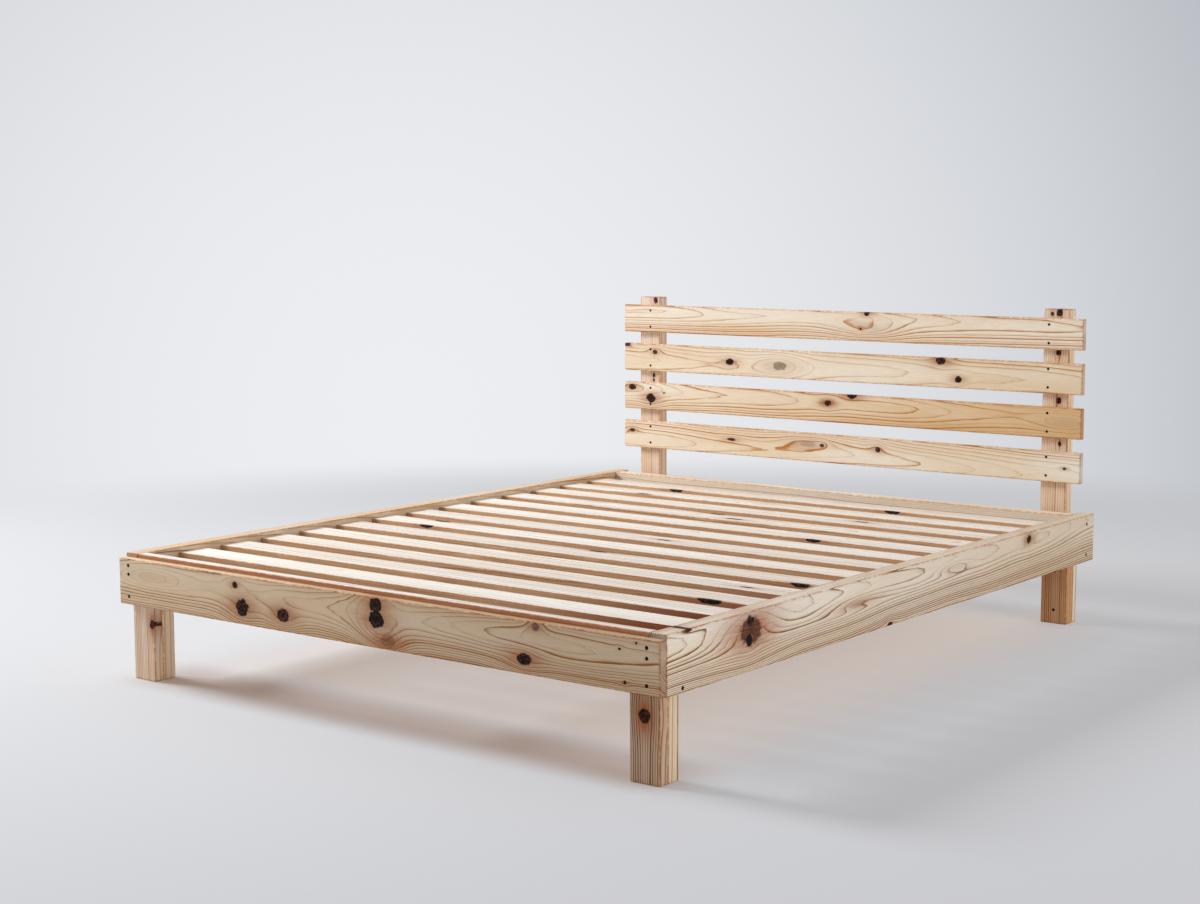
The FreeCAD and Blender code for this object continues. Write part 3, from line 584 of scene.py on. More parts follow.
def finish_pine(material, shader, place, seed, half_size, wood, knots):
    """Wires rings, knots, edges and surface into the shader."""
    tree = material.node_tree
    uneven = noise(place, RAGGED_FINENESS, seed, 2.0)[0]
    ragged = less(uneven, 0.5)
    blotch = noise(place, BLOTCH_FINENESS, seed, 1.0)[0]
    shift, marks = ORIGIN, ORIGIN
    for knot in knots:
        so_far = {
            "Place": place, "Shift": shift, "Marks": marks, "Ragged": ragged, "Blotch": blotch,
        }
        outputs = use_group(tree, knot_group, {**so_far, **knot})
        shift, marks = outputs["Shift"], outputs["Marks"]
    rings = use_group(tree, rings_group, {
        "Place": place, "Shift": shift, "Seed": seed, "Pith Across": wood["pith"][0],
        "Pith Deep": wood["pith"][1], "Lean": wood["lean"], "Ring Width": wood["ring"],
        "Wander": wood["wander"],
    })
    wear = use_group(tree, wear_group, {
        "Place": place, "Half Size": half_size, "Width": wood["wear"], "Unevenness": uneven,
    })
    surface = use_group(tree, surface_group, {
        "Place": place, "Summer Wood": rings["Summer Wood"], "Marks": marks, "Wear": wear["Wear"],
        "End": wear["End"], "Pale": wood["pale"], "Brown": wood["brown"],
        "Honey": wood["honey"], "Contrast": wood["contrast"], "Seed": seed,
    })
    wire(shader, surface["Colour"], surface["Roughness"], surface["Height"], RELIEF)
    shader.inputs["Specular IOR Level"].default_value = PINE_GLOSS


print("the lines of planed pine stand up by at most", RELIEF / MM, "mm")

# %% Pine for a CAD timber
USUAL = {
    "pith": (0.01, -0.07), "lean": 0.03, "ring": 0.0055, "wander": 0.02,
    "pale": screen("ecd8c0"), "brown": screen("a5663a"), "contrast": 1.0, "wear": 0.006,
    "honey": 1.0,
}
AXES = {"X": 0, "Y": 1, "Z": 2}
FRONT_SKIN = (1.5 * MM, 0.5 * MM)
SEED_STEP = 1.7
SEED_WAYS = (1.0, 3.1, 0.7)


def pine(node, order, knots=(), **changes):
    """Pine for one CAD timber. The order names the axes along, across and through it, and the
    knots are in millimetres from the bed's own origin. A front colour is painted shade on the
    timber's front face, and a far_pale changes the pale colour little by little towards the timber's
    far end."""
    wood = {**USUAL, **changes}
    low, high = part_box(node)
    turn = [AXES[letter] for letter in order]
    middle = (low + high) / 2
    half_size = [(high - low)[axis] / 2 for axis in turn]
    material, shader = new_material("pine " + node)
    tree = material.node_tree
    at = add_node(tree, "ShaderNodeTexCoord").outputs["Object"]
    at = split(calc_vector("SUBTRACT", at, middle))
    place = join(*[at[axis] for axis in turn])
    # A darker colour on the timber's front face: painted shade.
    if "front_pale" in wood:
        on_shaded_front = ease(at[turn[2]], *[skin - half_size[2] for skin in FRONT_SKIN])
        wood["pale"] = mix(on_shaded_front, wood["pale"], wood["front_pale"])
    if "far_pale" in wood:
        to_far_end = ease(at[turn[0]], -half_size[0], half_size[0])
        wood["pale"] = mix(to_far_end, wood["pale"], wood["far_pale"])
    seed = tuple(SEED_STEP * len(bpy.data.materials) * way for way in SEED_WAYS)
    own_knots = [
        knot_values(a * MM - middle[turn[0]], b * MM - middle[turn[1]], radius * MM, *rest)
        for a, b, radius, *rest in knots
    ]
    finish_pine(material, shader, place, seed, half_size, wood, own_knots)
    for slot in nodes[node].material_slots:
        slot.material = material
    return material


print("usual ring width:", USUAL["ring"] / MM, "mm")

# %% [markdown]
# ## The frame
#
# The foot board and the right side rail are what the camera sees best. Their knots are listed one
# by one, where the real ones are: along the timber, across it, radius, stretch and darkness, and
# for some the halo and the swerve. The pith of either runs six or seven centimetres from the middle
# of the board and leans a little to it, so arches stand between lines that are nearly straight.
# Both get darker towards the far end. On the foot board this is painted shade, where the light from
# the left falls off towards its right end.

# %% Foot board and side rails
FOOT_KNOTS = [
    (-426, 296, 8, 1.1, 1.0, 0.6), (-401, 243, 20, 1.05, 1.1, 0.9), (-258, 241, 17, 1.1, 0.9, 0.9),
    (50, 302, 16, 1.2, 1.1, 0.9), (52, 268, 19, 1.15, 1.9, 0.9), (88, 221, 15, 1.5, 0.15, 0.9),
    (528, 309, 9, 1.1, 0.3, 0.6), (496, 234, 13, 1.5, 1.0, 0.8), (-742, 281, 9, 3.4, 0.0, 0.2),
    (801, 309, 3, 1.0, 1.2, 0.3), (757, 291, 3, 1.2, 1.2, 0.3), (771, 221, 4, 1.0, 1.5, 0.3),
]
SIDE_KNOTS = [
    (-748, 286, 32, 1.25, 0.42, 1.0, 0.7), (-752, 307, 11, 1.2, 1.2, 0.2),
    (-756, 266, 12, 1.0, 3.0, 0.2), (624, 310, 11, 1.1, 1.3, 1.0), (197, 291, 8, 3.5, 0.0, 0.2),
    (-290, 274, 9, 4.5, 0.08, 0.45), (-133, 198, 7, 1.6, 0.9, 0.3), (-988, 327, 4, 3.0, 0.8, 0.3),
]
# The foot board's far_pale darkens it towards the right end: painted shade where the light from the
# left falls off.
pine(
    "foot_board", "XZY", FOOT_KNOTS, pith=(0.02, 0.07), lean=-0.025, ring=0.0034, wander=0.04,
    pale=screen("f6e0c2"), far_pale=screen("dec8ac"), brown=screen("a2682f"), contrast=1.2,
    honey=0.5,
)
pine(
    "side_rail_right", "YZX", SIDE_KNOTS, pith=(0.045, -0.06), lean=-0.022, ring=0.0042,
    wander=0.035, pale=screen("fbf2e4"), far_pale=screen("e8dac6"), brown=screen("96672e"),
    contrast=1.5, honey=0.5,
)
pine("side_rail_left", "YZX", pith=(0.04, 0.09), ring=0.006, brown=screen("a06c40"))
print("knots on the foot board and the side rail:", len(FOOT_KNOTS), "and", len(SIDE_KNOTS))

# %% Foot rail and head rail
# The foot rail's front face is painted darker brown. This is painted shade, because the face stands
# back in shade above the foot board.
pine(
    "foot_rail", "XZY", pith=(0.3, 0.04), ring=0.005, pale=screen("fbf4ee"), contrast=0.7,
    honey=0.2, front_pale=screen("d29a74"),
)
pine(
    "head_rail", "XZY", pith=(-0.25, 0.05), ring=0.006, pale=screen("fff2de"), contrast=0.6,
    honey=0.4,
)
print("timbers with pine so far:", len(bpy.data.materials))

# %% [markdown]
# ## Legs and posts
#
# Each leg is two plies that stand side by side, which is why its side shows two different strips.
# Their wood was cut with the rings edge on, so the grain runs in straight lines from top to bottom.
# The pith is far off to one side in such a timber.

# %% Legs and posts
LEG_KNOTS = {
    "leg_short_front_right": [(148, 803, 15, 1.0, 0.9, 1.2, 0.4)],
    "leg_short_front_left": [(150, -771, 8, 1.6, 0.7, 0.9, 0.4)],
}
# The short front right ply is the darkest. This is partly its own dark wood and partly painted shade,
# where the light falls off towards the right.
LEG_WOODS = {
    "leg_short_front_right": ("e2c8ae", "70402c"), "leg_tall_front_right": ("fbf0de", "a87c50"),
    "leg_short_front_left": ("fff4e2", "d08a56"), "leg_tall_front_left": ("fff4e0", "d89058"),
    "leg_short_rear_right": ("fbf0de", "b0805a"), "leg_tall_rear_right": ("e4b688", "8e4218"),
    "leg_short_rear_left": ("f0d8ba", "944c28"), "leg_tall_rear_left": ("f0d8ba", "a86238"),
}
for node, (pale, brown) in LEG_WOODS.items():
    pine(
        node, "ZXY", LEG_KNOTS.get(node, ()), pith=(0.16, 0.04), lean=0.0, ring=0.006,
        wander=0.008, pale=screen(pale), brown=screen(brown), contrast=1.45,
    )
POST_KNOTS = {
    "head_post_right": [
        (790, 738, 8, 1.0, 0.9), (906, 738, 9, 1.2, 0.8), (650, 742, 8, 1.2, 0.9),
        (524, 748, 5, 1.4, 0.9), (902, 716, 5, 1.2, 0.6),
    ],
    "head_post_left": [
        (906, -708, 8, 1.3, 0.6), (655, -716, 5, 1.4, 1.0), (640, -716, 4, 1.4, 1.0),
    ],
}
for node, knots in POST_KNOTS.items():
    pine(
        node, "ZXY", knots, pith=(-0.14, 0.06), lean=0.0, ring=0.0065, wander=0.008,
        pale=screen("fff2e2"), brown=screen("bd7e4e"), contrast=1.2,
    )
print("plies:", len(LEG_WOODS), "posts:", len(POST_KNOTS))

# %% [markdown]
# ## The headboard's boards
#
# Four boards of warm, pale wood with fine rings. Most of their knots are small. The right ends of
# the boards differ in tone.

# %% Headboard boards
BOARD_KNOTS = {
    "headboard_board_1": [
        (109, 886, 8, 1.2, 0.9), (113, 842, 14, 2.8, 0.03, 0.2), (88, 838, 3, 1.2, 1.0),
    ],
    "headboard_board_2": [
        (-397, 715, 10, 1.5, 1.5), (-207, 710, 13, 1.9, 0.27, 0.3), (367, 751, 11, 1.5, 0.9, 0.8),
        (426, 698, 9, 1.2, 1.6), (-811, 757, 8, 1.4, 0.6), (-696, 735, 8, 1.2, 0.5),
    ],
    "headboard_board_3": [
        (-790, 614, 9, 1.6, 0.9), (-713, 581, 14, 1.2, 1.3, 0.8), (60, 629, 9, 1.8, 1.2, 0.9),
        (-27, 602, 9, 1.3, 0.8, 1.2), (772, 589, 10, 2.6, 0.0, 0.3), (-660, 600, 3, 1.0, 1.0),
    ],
    "headboard_board_4": [
        (-791, 469, 6, 1.7, 0.5), (-389, 463, 5, 3.0, 0.6), (-99, 468, 10, 3.0, 0.1, 0.4),
        (-47, 466, 6, 1.2, 0.5), (154, 467, 8, 1.1, 0.75), (774, 455, 4, 1.4, 0.6),
    ],
}
BOARD_PITHS = [(0.02, 0.05), (-0.01, 0.09), (0.015, 0.06), (-0.02, 0.08)]
RIGHT_ENDS = ["fdf1de", "fbeed8", "eccfa6", "fffaee"]
for (node, knots), pith, right_end in zip(BOARD_KNOTS.items(), BOARD_PITHS, RIGHT_ENDS):
    pine(
        node, "XZY", knots, pith=pith, lean=0.018, ring=0.0046, wander=0.025,
        pale=screen("fdf1de"), far_pale=screen(right_end), brown=screen("c8863e"), contrast=1.4,
        honey=0.9,
    )
print("boards:", len(BOARD_KNOTS))

# %% [markdown]
# ## Inside the frame
#
# The ledgers under the ends of the slats, the beam under their middle and its leg are seen from
# below and through the gaps. The ledgers and the beam are painted dark brown: painted shade for
# the gaps through which they show.

# %% Ledgers, beam and middle leg
# Dark brown: painted shade where the ledgers and the beam show through the gaps.
for node in ("slat_ledger_left", "slat_ledger_right", "center_beam"):
    pine(node, "YXZ", pith=(0.12, -0.05), ring=0.005, pale=screen("8a5a42"), brown=screen("56301f"))
pine("center_leg", "ZXY", pith=(0.1, 0.05), ring=0.005)
print("timbers with pine so far:", len(bpy.data.materials))

# %% [markdown]
# ## The slats
#
# The deck is thirteen planed slats, all cut alike and laid at the same distance. Placing each by
# hand would work, but such a rule is what Geometry Nodes are for: one tree makes a slat from a
# rounded outline drawn along a line, repeats it, and gives each one slightly different edges, where
# the plane met the bark. Its inputs are the real sizes. The tree also keeps, for each point, its
# place in its own slat, the slat's number and its knots, so that one material can give each slat
# its own wood.

# %% Knots of the slats
SLATS = sorted(name for name in nodes if name.startswith("slat_") and name[5:].isdigit())
first_low, first_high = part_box(SLATS[0])
last_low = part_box(SLATS[-1])[0]
slat_size = first_high - first_low
KNOTS_PER_SLAT = 2
NO_KNOT = (0, 9000, 1)
SLAT_KNOTS = {
    2: [(674, -44, 8)], 3: [(657, -9, 5)], 4: [(60, 38, 7), (737, -42, 7)],
    5: [(-614, 37, 7), (-606, -44, 6)], 6: [(92, 0, 6)], 8: [(414, -44, 6)],
    9: [(-56, 38, 6), (37, -9, 7)], 10: [(360, 14, 6)], 11: [(-486, -34, 7)],
    12: [(-458, -43, 6), (326, -44, 6)],
}
print("slats with knots that show:", len(SLAT_KNOTS), "of", len(SLATS))

# %% A Geometry Nodes tree with named inputs
GEOMETRY_SOCKETS = {
    "number": "NodeSocketFloat", "count": "NodeSocketInt", "vector": "NodeSocketVector",
    "material": "NodeSocketMaterial",
}


def geometry_tree(name, inputs):
    """An empty tree, its inputs, its output, and the names by which a modifier knows the inputs."""
    tree = bpy.data.node_groups.new(name, "GeometryNodeTree")
    sockets = {
        label: tree.interface.new_socket(label, in_out="INPUT", socket_type=GEOMETRY_SOCKETS[kind])
        for label, kind in inputs.items()
    }
    tree.interface.new_socket("Geometry", in_out="OUTPUT", socket_type="NodeSocketGeometry")
    names = {label: socket.identifier for label, socket in sockets.items()}
    given = tree.nodes.new("NodeGroupInput").outputs
    result = tree.nodes.new("NodeGroupOutput").inputs
    return tree, given, result, names


def grow(name, tree, names, values):
    """Runs a tree on an empty mesh and turns what it made into a plain mesh object."""
    seed_object = bpy.data.objects.new(name + "_tree", bpy.data.meshes.new(name + "_tree"))
    bpy.context.scene.collection.objects.link(seed_object)
    modifier = seed_object.modifiers.new("tree", "NODES")
    modifier.node_group = tree
    for label, value in values.items():
        modifier[names[label]] = value
    bpy.context.view_layer.update()
    seen = seed_object.evaluated_get(bpy.context.evaluated_depsgraph_get())
    mesh = bpy.data.meshes.new_from_object(seen)
    bpy.data.objects.remove(seed_object)
    piece = bpy.data.objects.new(name, mesh)
    bpy.context.scene.collection.objects.link(piece)
    return piece


print("geometry tools ready")

# %% Steps of geometry
def shape(tree, kind, inputs=None, **settings):
    """One step of geometry, named by the last part of its node's name."""
    return add_node(tree, "GeometryNode" + kind, inputs, **settings).outputs[0]


def straight_line(tree, start, end, points):
    """A line with many points, so that it can bend later."""
    line = shape(tree, "CurvePrimitiveLine", {"Start": start, "End": end})
    return shape(tree, "ResampleCurve", {"Curve": line, "Count": points})


def bar_along(tree, line, width, thickness, corner, corner_points):
    """A flat bar with rounded edges and closed ends along a line."""
    line = shape(tree, "SetCurveNormal", {"Curve": line}, mode="Z_UP")
    outline = shape(tree, "CurvePrimitiveQuadrilateral", {"Width": width, "Height": thickness})
    outline = shape(
        tree, "FilletCurve", {"Curve": outline, "Count": corner_points, "Radius": corner},
        mode="POLY",
    )
    return shape(tree, "CurveToMesh", {"Curve": line, "Profile Curve": outline, "Fill Caps": True})


def keep(tree, geometry, name, value, data_type, domain):
    """Keeps a value under a name, for each point or for each copy."""
    inputs = {"Geometry": geometry, "Name": name, "Value": value}
    return shape(tree, "StoreNamedAttribute", inputs, data_type=data_type, domain=domain)


def kept(tree, name, data_type):
    """Reads a value that was kept under a name."""
    return shape(tree, "InputNamedAttribute", {"Name": name}, data_type=data_type)


print("geometry steps ready")

# %% Slat deck tree
SLAT_POINTS = 90
SLAT_CORNER_POINTS = 4
# Where the plane met the bark: how fine the places are, how far the noise moves from slat to slat,
# where it is high enough, and how far the edge steps inwards for each millimetre that it sinks.
WANE_FINENESS = (7.0, 30.0, 30.0)
WANE_STEP = 3.7
WANE_WHERE = (0.58, 0.74)
WANE_INWARDS = -0.7

deck_tree, given, result, deck_names = geometry_tree("Slat Deck", {
    "Count": "count", "Pitch": "vector", "First": "vector", "Length": "number", "Width": "number",
    "Thickness": "number", "Edge Round": "number", "Wane": "number", "Material": "material",
})


def knot_of_slat(tree, number, which):
    """Picks from the table by the slat's number: along, across and radius of one of its knots."""
    pick = add_node(tree, "GeometryNodeIndexSwitch", data_type="VECTOR")
    while len(pick.index_switch_items) < len(SLATS):
        pick.index_switch_items.new()
    plug(pick.inputs[0], number)
    for slat in range(len(SLATS)):
        own = SLAT_KNOTS.get(slat, ())
        values = own[which] if which < len(own) else NO_KNOT
        pick.inputs[1 + slat].default_value = [value * MM for value in values]
    return pick.outputs[0]


def wane(tree, given):
    """How far each point of a slat moves: inwards and down, where its upper edge met the bark."""
    place = kept(tree, "slat_place", "FLOAT_VECTOR")
    number = kept(tree, "slat_number", "FLOAT")
    offset = join(0.0, times(number, WANE_STEP), 0.0)
    bumps = noise(place, WANE_FINENESS, offset)[0]
    chipped = times(ease(bumps, *WANE_WHERE), given["Wane"])
    _, across, deep = split(place)
    side = times(given["Width"], 0.5)
    edge = less(side, given["Edge Round"])
    at_side = ease(calc("ABSOLUTE", across), edge, side)
    at_top = ease(deep, 0.0, times(given["Thickness"], 0.5))
    cut = times(chipped, times(at_side, at_top))
    inwards = times(calc("SIGN", across), times(cut, WANE_INWARDS))
    return join(0.0, inwards, times(cut, -1.0))


def fill_deck_tree(tree, given, result):
    """A rounded outline along a line, repeated, with its edges worn unevenly."""
    half = times(given["Length"], 0.5)
    start = join(times(half, -1.0), 0.0, 0.0)
    line = straight_line(tree, start, join(half, 0.0, 0.0), SLAT_POINTS)
    slat = bar_along(
        tree, line, given["Width"], given["Thickness"], given["Edge Round"], SLAT_CORNER_POINTS
    )
    slat = keep(tree, slat, "slat_place", shape(tree, "InputPosition"), "FLOAT_VECTOR", "POINT")
    spots = {"Count": given["Count"], "Start Location": given["First"], "Offset": given["Pitch"]}
    spots = shape(tree, "MeshLine", spots)
    slats = shape(tree, "InstanceOnPoints", {"Points": spots, "Instance": slat})
    number = shape(tree, "InputIndex")
    slats = keep(tree, slats, "slat_number", number, "FLOAT", "INSTANCE")
    for which in range(KNOTS_PER_SLAT):
        knot = knot_of_slat(tree, number, which)
        slats = keep(tree, slats, f"slat_knot_{which}", knot, "FLOAT_VECTOR", "INSTANCE")
    slats = shape(tree, "RealizeInstances", {"Geometry": slats})
    slats = shape(tree, "SetPosition", {"Geometry": slats, "Offset": wane(tree, given)})
    slats = shape(tree, "SetMaterial", {"Geometry": slats, "Material": given["Material"]})
    plug(result["Geometry"], slats)


fill_deck_tree(deck_tree, given, result)
print("slat deck tree:", len(deck_tree.nodes), "nodes")

# %% [markdown]
# ## Wood for the slats
#
# All slats share one material. The slat's number moves the pith, so each has grain of its own, and
# the knots come from what the tree kept on each slat. So a few groups do for all thirteen. The narrow
# sawn sides are painted a warmer brown than the planed tops, as painted shade, and are darkest at the
# right end of the first slats, as a painted shadow of the right side rail.

# %% Slat material
SLAT_PITH_ACROSS = (-0.08, 0.08)
SLAT_PITH_DEEP = (-0.10, -0.05)
SLAT_LEAN = (-0.025, 0.025)
SLAT_SEED = (5.3, 40.0, 2.0)
SHADED_SIDE_DEPTH = (1.6 * MM, 0.5 * MM)
RAIL_SHADOW_ALONG = (0.2, 0.8)
RAIL_SHADOW_SLATS = (6.0, 0.0)
SLAT_KNOT_STRETCH = 4.0
SLAT_KNOT_DARK = 1.6
SLAT_KNOT_ROUND = 0.8


def between(share, low, high):
    """A number between two ends."""
    return scaled(share, high - low, low)


def from_slat(tree, name, output="Vector"):
    """What the slat deck tree kept under a name."""
    return add_node(tree, "ShaderNodeAttribute", attribute_name=name).outputs[output]


def slat_knots(tree, top):
    """The knots of any slat. They end in its depth, because they show on its upper side."""
    knots = []
    for which in range(KNOTS_PER_SLAT):
        along, across, radius = split(from_slat(tree, f"slat_knot_{which}"))
        knot = knot_values(0.0, 0.0, radius, SLAT_KNOT_STRETCH, SLAT_KNOT_DARK)
        knot["Centre"] = join(along, across, top)
        knots.append({**knot, "Roundness": SLAT_KNOT_ROUND})
    return knots


def slat_pine():
    """Pine that reads its place, its knots and its luck from the slat that it is on."""
    material, shader = new_material("pine slats")
    tree = material.node_tree
    place = from_slat(tree, "slat_place")
    number = from_slat(tree, "slat_number", "Fac")
    luck = split(luck_of(number, "Color"))
    seed = join(times(number, SLAT_SEED[0]), times(luck[0], SLAT_SEED[1]), SLAT_SEED[2])
    half_size = [slat_size[axis] / 2 for axis in range(3)]
    along, across, _ = split(place)
    from_middle = calc("ABSOLUTE", across)
    # The narrow sides get painted shade. Near the right side rail of the first slats they get a
    # darker painted shadow.
    painted_shade_on_sides = ease(from_middle, *[half_size[1] - depth for depth in SHADED_SIDE_DEPTH])
    painted_rail_shadow = times(ease(along, *RAIL_SHADOW_ALONG), ease(number, *RAIL_SHADOW_SLATS))
    edge = mix(painted_rail_shadow, screen("deb48c"), screen("935033"))
    wood = {
        "pith": (between(luck[0], *SLAT_PITH_ACROSS), between(luck[1], *SLAT_PITH_DEEP)),
        "lean": between(luck[2], *SLAT_LEAN), "ring": 0.005, "wander": 0.02,
        "pale": mix(painted_shade_on_sides, screen("fbf6ef"), edge), "brown": screen("b4845c"),
        "contrast": 0.9, "wear": 0.004, "honey": 0.35,
    }
    knots = slat_knots(tree, half_size[2])
    finish_pine(material, shader, place, seed, half_size, wood, knots)
    return material


slat_material = slat_pine()
print("slat size in millimetres:", [round(v / MM, 1) for v in slat_size])

# %% Grow the slats
pitch = (last_low - first_low) / (len(SLATS) - 1)
slats = grow("slats", deck_tree, deck_names, {
    "Count": len(SLATS), "Pitch": pitch, "First": (first_low + first_high) / 2,
    "Length": slat_size.x, "Width": slat_size.y, "Thickness": slat_size.z, "Edge Round": 2.5 * MM,
    "Wane": 2.5 * MM, "Material": slat_material,
})
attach(slats, "root")
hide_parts(*SLATS)
corners = [vertex.co for vertex in slats.data.vertices]
print("slats:", len(SLATS), "faces:", len(slats.data.polygons))
print("from", [round(min(c[i] for c in corners), 4) for i in range(3)])
print("to", [round(max(c[i] for c in corners), 4) for i in range(3)])

# %% [markdown]
# ## Metals, beech and webbing
#
# The wood screws are browned steel, nearly black. The bolts, nuts, washers, hangers and staples are
# zinc plated: grey with a faint mottle where the crystals of zinc differ. The dowels are beech.

# %% Metals and beech
MOTTLE_WHERE = (0.35, 0.65)
SCRATCH_FINENESS = (900.0, 140.0, 900.0)
SCRATCH_ROUGHNESS = 0.25
SCRATCH_RELIEF = 0.03 * MM
ZINC_PLATED = ("bolts", "washers", "nuts", "staples")


def metal(name, bright, dull, roughness, fineness):
    """Steel whose shine and colour vary from patch to patch."""
    material, shader = new_material(name)
    tree = material.node_tree
    at = add_node(tree, "ShaderNodeTexCoord").outputs["Object"]
    mottle = noise(at, (fineness,) * 3, ORIGIN, 3.0)[0]
    scratch = noise(at, SCRATCH_FINENESS, ORIGIN, 2.0)[0]
    colour = mix(ease(mottle, *MOTTLE_WHERE), screen(bright), screen(dull))
    rough = scaled(scratch, SCRATCH_ROUGHNESS, roughness)
    wire(shader, colour, rough, scratch, SCRATCH_RELIEF)
    shader.inputs["Metallic"].default_value = 1.0
    return material


dark_steel = metal("dark steel", "463428", "20160f", 0.42, 500.0)
zinc_steel = metal("zinc steel", "b9bcbc", "8f9496", 0.25, 260.0)
steels = {"dark": 0, "zinc": 0}
for name, node in nodes.items():
    zinc = name.endswith(ZINC_PLATED) or "hanger" in name
    if zinc or name.endswith("screws"):
        steels["zinc" if zinc else "dark"] += 1
        for slot in node.material_slots:
            slot.material = zinc_steel if zinc else dark_steel
pine("center_leg_dowels", "ZXY", ring=0.0009, pale=screen("d8b48a"), brown=screen("b98a5c"))
print("nodes of each steel:", steels)

# %% [markdown]
# ## The webbing bands
#
# Two woven bands run under the slats, stapled to each, and keep them apart when they are rolled up
# or lifted out. Between the slats a band sags a little. A tree draws its flat outline along the
# whole deck and lowers it in each gap.

# %% Webbing tree
BAND_POINTS = 400
BAND_CORNER_POINTS = 2
BAND_CORNER = 0.45

band_tree, given, result, band_names = geometry_tree("Webbing Band", {
    "Start": "vector", "End": "vector", "Width": "number", "Thickness": "number",
    "First Edge": "number", "Pitch": "number", "Slat Share": "number", "Sag": "number",
    "Material": "material",
})


def fill_band_tree(tree, given, result):
    """A flat rounded outline along a line that dips between the slats."""
    line = straight_line(tree, given["Start"], given["End"], BAND_POINTS)
    position = shape(tree, "InputPosition")
    along = less(split(position)[1], given["First Edge"])
    share = calc("FRACT", calc("DIVIDE", along, given["Pitch"]))
    past_slat = less(share, given["Slat Share"])
    in_gap = calc("DIVIDE", past_slat, less(1.0, given["Slat Share"]))
    in_gap = calc("MAXIMUM", in_gap, 0.0)
    dip = times(calc("SINE", times(in_gap, math.pi)), given["Sag"])
    down = join(0.0, 0.0, times(dip, -1.0))
    line = shape(tree, "SetPosition", {"Geometry": line, "Offset": down})
    corner = times(given["Thickness"], BAND_CORNER)
    band = bar_along(tree, line, given["Width"], given["Thickness"], corner, BAND_CORNER_POINTS)
    band = shape(tree, "RealizeInstances", {"Geometry": band})
    band = shape(tree, "SetMaterial", {"Geometry": band, "Material": given["Material"]})
    plug(result["Geometry"], band)


fill_band_tree(band_tree, given, result)
print("webbing tree:", len(band_tree.nodes), "nodes")

# %% Webbing material
WARP_WIDTH = 1.6 * MM
WEFT_WIDTH = 1.2 * MM
THREAD_RELIEF = 0.3 * MM
SOILED_FINENESS = (30.0, 12.0, 30.0)
SOILED_WHERE = (0.45, 0.75)


def webbing_material():
    """Plain weave: warp and weft threads that pass over each other by turns."""
    material, shader = new_material("cotton webbing")
    tree = material.node_tree
    at = split(add_node(tree, "ShaderNodeTexCoord").outputs["Object"])
    warp = calc("SINE", times(at[0], math.tau / WARP_WIDTH))
    weft = calc("SINE", times(at[1], math.tau / WEFT_WIDTH))
    thread = scaled(times(warp, weft), 0.5, 0.5)
    colour = mix(thread, screen("b8b2a2"), screen("e6e1d4"))
    soiled = noise(join(*at), SOILED_FINENESS, ORIGIN)[0]
    colour = mix(ease(soiled, *SOILED_WHERE), colour, screen("c8bfa8"))
    rough = scaled(thread, -0.1, 0.95)
    wire(shader, colour, rough, thread, THREAD_RELIEF)
    return material


webbing = webbing_material()
print("webbing threads:", WARP_WIDTH / MM, "and", WEFT_WIDTH / MM, "mm wide")

# %% The two bands
for side in ("left", "right"):
    node = "slat_band_" + side
    low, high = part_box(node)
    size, middle = high - low, (low + high) / 2
    band = grow("webbing_band_" + side, band_tree, band_names, {
        "Start": (middle.x, low.y, middle.z), "End": (middle.x, high.y, middle.z),
        "Width": size.x, "Thickness": size.z, "First Edge": first_low.y, "Pitch": pitch.y,
        "Slat Share": slat_size.y / pitch.y, "Sag": 1.5 * MM, "Material": webbing,
    })
    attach(band, "root")
    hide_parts(node)
    print(band.name, [round(v / MM, 1) for v in size])

# %% [markdown]
# ## Floor, background and light
#
# The bed stands on a plain white studio floor that turns into a pale blue-grey background without a
# visible corner. The floor here is a large disc that fades out, and behind it the world shows the
# background's colour. Only rays from the camera and from shiny surfaces see that colour; all others
# get an even, plain light from the world, so the wood keeps its own colour.

# %% Floor
FLOOR_RADIUS = 6.0
FLOOR_CORNERS = 96
FADES_OUT = (4.5, 2.9)
GLOW_SHARE = 0.35
# All places are in metres. The glow is painted light. It has a painted pool of light round a spot
# left of the bed, painted warm light in the shade under the bed, and a painted shadow in a narrow
# band under the foot board.
PAINTED_POOL_MIDDLE = (-2.2, 0.2, 0.0)
PAINTED_POOL_REACH = (1.0, 4.4)
UNDER_FOOT_END = (-1.0, -0.75)
UNDER_HEAD_END = (1.2, 0.85)
UNDER_SIDES = (1.0, 0.6)
FOOT_SHADE = -0.985
FOOT_SHADE_REACH = (0.18, 0.03)
FOOT_SHADE_SIDES = (0.95, 0.75)
PAINT_LEFT_TO_RIGHT = (-3.6, 1.0)


def seen_directly(tree):
    """1 for rays of the camera, also by way of something shiny or clear, and 0 for all others."""
    path = add_node(tree, "ShaderNodeLightPath").outputs
    seen = calc("MAXIMUM", path["Is Camera Ray"], path["Is Glossy Ray"])
    return calc("MAXIMUM", seen, path["Is Transmission Ray"])


def painted_floor_light(at):
    """The colour of the glow that the camera sees on the floor. All of it is painted light: a pool of
    light, warm light in the shade under the bed, and a shadow under the foot board.
    """
    from_brightest = calc_vector("DISTANCE", at, PAINTED_POOL_MIDDLE, output="Value")
    dimmer = ease(from_brightest, *PAINTED_POOL_REACH)
    glow = mix(dimmer, screen("f2f3f6"), screen("c5cad2"))
    to_right, to_head, _ = split(at)
    across = calc("ABSOLUTE", to_right)
    inside = times(ease(to_head, *UNDER_FOOT_END), ease(to_head, *UNDER_HEAD_END))
    under = times(ease(across, *UNDER_SIDES), inside)
    # Painted warm light in the shadow under the bed.
    glow = mix(under, glow, screen("ffeee3"))
    # A painted shadow in a narrow band under the foot board.
    from_band = calc("ABSOLUTE", less(to_head, FOOT_SHADE))
    band = times(ease(from_band, *FOOT_SHADE_REACH), ease(across, *FOOT_SHADE_SIDES))
    return mix(band, glow, screen("b08a70"))


